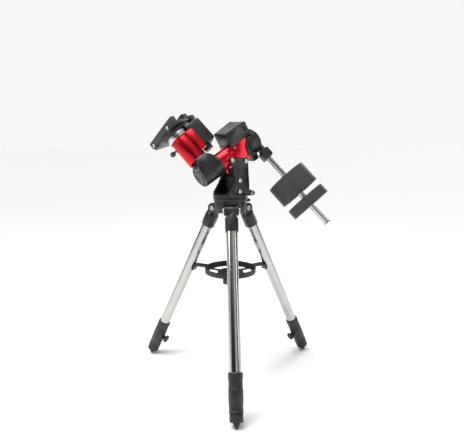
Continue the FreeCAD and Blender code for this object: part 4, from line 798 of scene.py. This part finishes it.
tick_tree = knurl_tree("hub_ticks", white_fill)
tick_way = polar.to_3x3() @ Vector((0, 0, 1))
ticks = grown("hub_scale", tick_tree,
              points_with_ways("tick_spot", [(polar @ Vector((0, 0, 0.0975)), tick_way)]),
              Drum_Radius=0.04068, Ridge_Length=0.0032, Ridge_Count=72, Ridge_Width=0.0005)
dress(ticks, "polar_axis", white_fill, "black_casting")

bar_way = joint_way("large_weight_slide")
weights = frame_at(polar @ Vector((0, 0, 0.108)), polar_way, bar_way)
BAR = {"radius": 0.011, "bore": 0.004, "start": 0.060, "end": 0.391}
bar_steel = bare_steel("polished_bar", (0.58, 0.56, 0.53), 0.14, bar_way, 900.0, 0.00002)
dress(lathe("weight_bar", rounded([(BAR["bore"], BAR["start"]), (BAR["radius"], BAR["start"]),
                                   (BAR["radius"], BAR["end"]), (BAR["bore"], BAR["end"])], {2}, 0.0008),
            weights), "polar_axis", bar_steel, "polished_steel", "counterweight_bar")
toe_place = weights @ Matrix.Translation(Vector((0, 0, BAR["end"])))
dress(lathe("toe_washer", rounded([
    (0, -0.020), (0.0039, -0.020), (0.0039, 0.0),
    (BAR["radius"] + 0.003, 0.0), (BAR["radius"] + 0.003, 0.004),
    (0.0045, 0.004), (0.0035, 0.0028), (0, 0.0028)], {3, 4, 5}, 0.0008), toe_place, 72),
      "polar_axis", bright_bolt, "bright_steel", "toe_stop")


# ---------------------------------------------------------------- counterweights
# Two cast iron discs, turned on their faces and powder coated in charcoal, slide on the bar. Each is held by
# a bright knurled screw through its rim.

WEIGHT_RADIUS = 0.075
iron_coat = powder_coat("iron_coat", (0.021, 0.021, 0.024), (0.075, 0.075, 0.080), 0.55, 650.0)
for size, start, end in (("large", 0.1783, 0.2551), ("small", 0.2770, 0.3132)):
    bore = BAR["radius"] + 0.00005
    disc = lathe(size + "_weight_disc", rounded([
        (bore, start), (bore + 0.0010, start), (WEIGHT_RADIUS, start), (WEIGHT_RADIUS, end),
        (bore + 0.0010, end), (bore, end)], {2, 3}, 0.0022, 5), weights, 160)
    dress(disc, size + "_weight", iron_coat, "dark_iron", "counterweight_" + size)
    middle = (start + end) / 2
    out = weights.to_3x3() @ Vector((0, -1, 0))
    tip = weights @ Vector((0, -BAR["radius"] - 0.0004, middle))
    lock = thumb_screw(size + "_weight_screw", tip, out, WEIGHT_RADIUS + 0.0046 - BAR["radius"],
                       0.010, 0.0112, 0.00395, 40)
    dress(lock, size + "_weight_lock", bright_bolt, "bright_steel", "counterweight_lock_" + size)


# ---------------------------------------------------------------- axis head
# The black casting on the south end of the polar shaft carries the declination housing. A flat cover is
# screwed on its east face, and a turned cap with three spokes closes the polar bore.

dec_way = joint_way("declination_turn")
dec = frame_at(joint_at("declination_turn"), -polar_way, dec_way)
dress(softened("axis_head", "axis_casting", 0.0012), "polar_axis", black_coat, "black_casting", "axis_head")
# The smooth black's pale edge colour paints a highlight along the edges of the cover and the cap; it is not
# wear.
smooth_black = powder_coat("smooth_black", (0.0040, 0.0040, 0.0045), (0.22, 0.22, 0.23), 0.22, 1800.0)
dress(softened("head_cover", "axis_cover", 0.0012), "polar_axis", smooth_black, "black_casting", "head_cover")
COVER_FACE = -0.042
cover_out = dec.to_3x3() @ Vector((0, -1, 0))
spots = [(dec @ Vector((along, COVER_FACE + 0.0009, level)), cover_out)
         for along, level in ((-0.030, -0.006), (0.027, -0.006), (-0.030, 0.022), (0.027, 0.018))]
dress(grown("cover_screws", dark_screws, points_with_ways("cover_spots", spots), Head_Radius=0.0028,
            Head_Height=0.0016, Socket_Width=0.0024), "polar_axis", dark_bolt, "bright_steel")

cap = dec @ Matrix.Translation(Vector((0.033, 0, 0))) @ frame_at(Vector(), Vector((0, 0, 1)),
                                                                Vector((1, 0, 0)))
cap_turned = lathe("cap_turned", rounded([
    (0, 0), (0.038, 0), (0.038, 0.003), (0.0355, 0.005), (0.0335, 0.005), (0.0325, 0.0030), (0.0225, 0.0030),
    (0.0215, 0.0050), (0.0190, 0.0060), (0.0110, 0.0060), (0.0100, 0.0048), (0, 0.0048)],
    {2, 3, 4, 7, 8, 9}, 0.0006), cap, 120)
spokes = []
for i in range(3):
    spoke_place = cap @ Matrix.Rotation(math.radians(120 * i + 30), 4, "Z")
    spokes.append(bar("cap_spoke_%d" % i, spoke_place, (0.0205, -0.0036, 0.0010), (0.0340, 0.0036, 0.0048),
                      0.0008))
dress(one_piece("polar_cap", cap_turned, *spokes), "polar_axis", smooth_black, "black_casting",
      "polar_end_cap")


# ---------------------------------------------------------------- declination axis
# The red housing matches the polar one and has a flat-sided flange for its drive box. A bright turned ring
# stands round the worm wheel, and a black disc on the shaft carries the saddle.

dress(softened("dec_housing", "dec_shell", 0.0012), "polar_axis", red_skin, "red_anodised", "dec_housing")
turned_ring = bare_steel("turned_ring", (0.66, 0.66, 0.67), 0.25, dec_way, 600.0)
dress(softened("dec_gear_case", "dec_ring", 0.0006), "polar_axis", turned_ring, "silver_aluminium",
      "dec_gear_case")
dress(softened("dec_head", "saddle_disc", 0.0010), "declination", black_coat, "black_casting", "dec_head")
dress(softened("dec_drive_cover", "dec_motor_cover", 0.0012), "polar_axis", cover_paint, "black_sheet",
      "dec_drive_cover")
dec_ground = bare_steel("dec_ground_steel", (0.50, 0.50, 0.51), 0.22, dec_way)
dec_worm_steel = bare_steel("dec_worm_steel", (0.55, 0.55, 0.56), 0.24, dec.to_3x3() @ Vector((0, 1, 0)))
dec_brass = bare_steel("dec_wheel_brass", (0.62, 0.43, 0.17), 0.28, dec_way, 500.0)
for node, finish in (("dec_shaft", dec_ground), ("dec_bearings", dec_ground), ("dec_worm_wheel", dec_brass),
                     ("dec_worm", dec_worm_steel), ("dec_motor_pulley", dec_worm_steel),
                     ("dec_motor", motor_skin), ("dec_belt", belt_rubber)):
    refinish(node, finish)


# ---------------------------------------------------------------- saddle
# The saddle is a milled bed with a fixed undercut jaw on its east side, held by two bright bolts, and a loose
# jaw that two lobed knobs draw in. It is painted grey.

dress(softened("saddle_base", "saddle_bed", 0.0010), "declination", grey_paint, "grey_casting", "saddle_base")
dress(softened("saddle_jaw", "loose_jaw", 0.0010), "jaw", grey_paint, "grey_casting", "saddle_jaw")

jaw_way = joint_way("saddle_knob_turn_1")
saddle = frame_at(joint_at("declination_turn"), jaw_way, dec_way)
spots = [(saddle @ Vector((0.0419, along, 0.194)), jaw_way) for along in (0.021, -0.070)]
dress(grown("jaw_screws", screw_tree, points_with_ways("jaw_spots", spots), Head_Radius=0.0055,
            Head_Height=0.0041, Socket_Width=0.005), "declination", bright_bolt, "bright_steel",
      "saddle_bolts")
for i in (1, 2):
    centre = joint_at("saddle_knob_turn_%d" % i)
    place = frame_at(centre, dec_way, -jaw_way)
    grip = lobed_drum("jaw_grip_%d" % i, place, 6, 0.0152, 0.0028, 0.0228, 0.0008)
    stem = lathe("jaw_stem_%d" % i, [(0, -0.0285), (0.00390, -0.0285), (0.00390, 0.0005), (0, 0.0005)],
                 place, 40)
    dress(one_piece("jaw_knob_%d" % i, grip, stem), "jaw_knob_%d" % i, grey_paint, "grey_casting",
          "saddle_knob_%d" % i)


# ---------------------------------------------------------------- studio
# A plain pale floor, a broad key light to the left, a fill to the right and a strip above and behind, so that
# the polished tubes show long bright and dark bands.

pale = bpy.data.materials.new("pale_floor")
pale.use_nodes = True
pale.node_tree.nodes["Principled BSDF"].inputs["Base Color"].default_value = (0.86, 0.86, 0.86, 1)
pale.node_tree.nodes["Principled BSDF"].inputs["Roughness"].default_value = 0.7
FLOOR_HALF = 40.0
floor_mesh = bpy.data.meshes.new("floor")
floor_mesh.from_pydata([(-FLOOR_HALF, -FLOOR_HALF, 0), (FLOOR_HALF, -FLOOR_HALF, 0),
                        (FLOOR_HALF, FLOOR_HALF, 0), (-FLOOR_HALF, FLOOR_HALF, 0)], [], [(0, 1, 2, 3)])
floor = bpy.data.objects.new("floor", floor_mesh)
bpy.context.scene.collection.objects.link(floor)
floor_mesh.materials.append(pale)

VIEW_TURN = math.radians(-32.97)
VIEW_DOWN = 0.1227
VIEW_BACK = 1.6927
right = Vector((math.cos(VIEW_TURN), math.sin(VIEW_TURN), 0))
level_way = Vector((-math.sin(VIEW_TURN), math.cos(VIEW_TURN), 0))
look = level_way * math.cos(VIEW_DOWN) - Vector((0, 0, math.sin(VIEW_DOWN)))
aim = tripod_foot + Vector((0, 0, 0.650))

lens = bpy.data.cameras.new("camera")
lens.lens = 36.0 * 481.3 / 464
lens.sensor_width = 36.0
lens.shift_x = 0.0034
lens.shift_y = -0.0463
camera = bpy.data.objects.new("camera", lens)
bpy.context.scene.collection.objects.link(camera)
camera.location = aim - look * VIEW_BACK
camera.rotation_mode = "QUATERNION"
camera.rotation_quaternion = look.to_track_quat("-Z", "Y")
bpy.context.scene.camera = camera


def soft_light(name, side, back, height, width, depth, watts):
    """A soft panel, placed to the right of the view and back from the object, aimed at the mount's middle."""
    lamp = bpy.data.lights.new(name, "AREA")
    lamp.shape = "RECTANGLE"
    lamp.size, lamp.size_y, lamp.energy = width, depth, watts
    holder = bpy.data.objects.new(name, lamp)
    bpy.context.scene.collection.objects.link(holder)
    holder.location = tripod_foot + right * side - level_way * back + Vector((0, 0, height))
    aim_at = tripod_foot + Vector((0, 0, 0.55))
    holder.rotation_mode = "QUATERNION"
    holder.rotation_quaternion = (aim_at - holder.location).to_track_quat("-Z", "Y")


soft_light("key_panel", -1.5, 0.7, 1.9, 0.35, 1.5, 15)
soft_light("fill_panel", 1.9, 0.5, 1.1, 0.3, 1.6, 6)
soft_light("strip_panel", -0.9, 0.2, 2.2, 0.25, 1.4, 12)
soft_light("back_panel", 1.1, -1.6, 1.3, 0.5, 1.6, 10)

overhead = bpy.data.lights.new("overhead", "SUN")
overhead.energy = 2.3
overhead.angle = math.radians(50)
overhead_holder = bpy.data.objects.new("overhead", overhead)
bpy.context.scene.collection.objects.link(overhead_holder)
overhead_holder.rotation_mode = "QUATERNION"
overhead_way = right * 0.25 + level_way * 0.15 - Vector((0, 0, 1))
overhead_holder.rotation_quaternion = overhead_way.to_track_quat("-Z", "Y")

# The room seen in the polished parts: bright walls with dark gaps between them and a dark band low down. The
# camera itself sees one even pale tone behind the mount.
sky = bpy.data.worlds.new("studio")
sky.use_nodes = True
room = sky.node_tree
even = room.nodes["Background"]
even.inputs["Color"].default_value = (0.93, 0.935, 0.94, 1)
even.inputs["Strength"].default_value = 1.0
direction = add_node(room, "ShaderNodeTexCoord").outputs["Generated"]
parts = add_node(room, "ShaderNodeSeparateXYZ", Vector=direction)
compass = add_node(room, "ShaderNodeMath", {"operation": "ARCTAN2"})
room.links.new(parts.outputs["Y"], compass.inputs[0])
room.links.new(parts.outputs["X"], compass.inputs[1])
waves = add_node(room, "ShaderNodeMath", {"operation": "MULTIPLY"})
room.links.new(compass.outputs[0], waves.inputs[0])
waves.inputs[1].default_value = 3.0
swing = add_node(room, "ShaderNodeMath", {"operation": "SINE"})
room.links.new(waves.outputs[0], swing.inputs[0])
walls = between(room, swing.outputs[0], 0.03, 0.85, 0.25, 0.75)
ceiling = between(room, parts.outputs["Z"], 0.0, 0.75, 0.45, 0.85)
glow = add_node(room, "ShaderNodeMath", {"operation": "MAXIMUM"})
room.links.new(walls, glow.inputs[0])
room.links.new(ceiling, glow.inputs[1])
around = add_node(room, "ShaderNodeBackground", Strength=glow.outputs[0])
seen = add_node(room, "ShaderNodeLightPath").outputs["Is Camera Ray"]
chosen = add_node(room, "ShaderNodeMixShader")
room.links.new(seen, chosen.inputs[0])
room.links.new(around.outputs[0], chosen.inputs[1])
room.links.new(even.outputs[0], chosen.inputs[2])
room.links.new(chosen.outputs[0], room.nodes["World Output"].inputs["Surface"])
bpy.context.scene.world = sky
bpy.context.scene.view_settings.view_transform = "Standard"

bpy.context.view_layer.update()
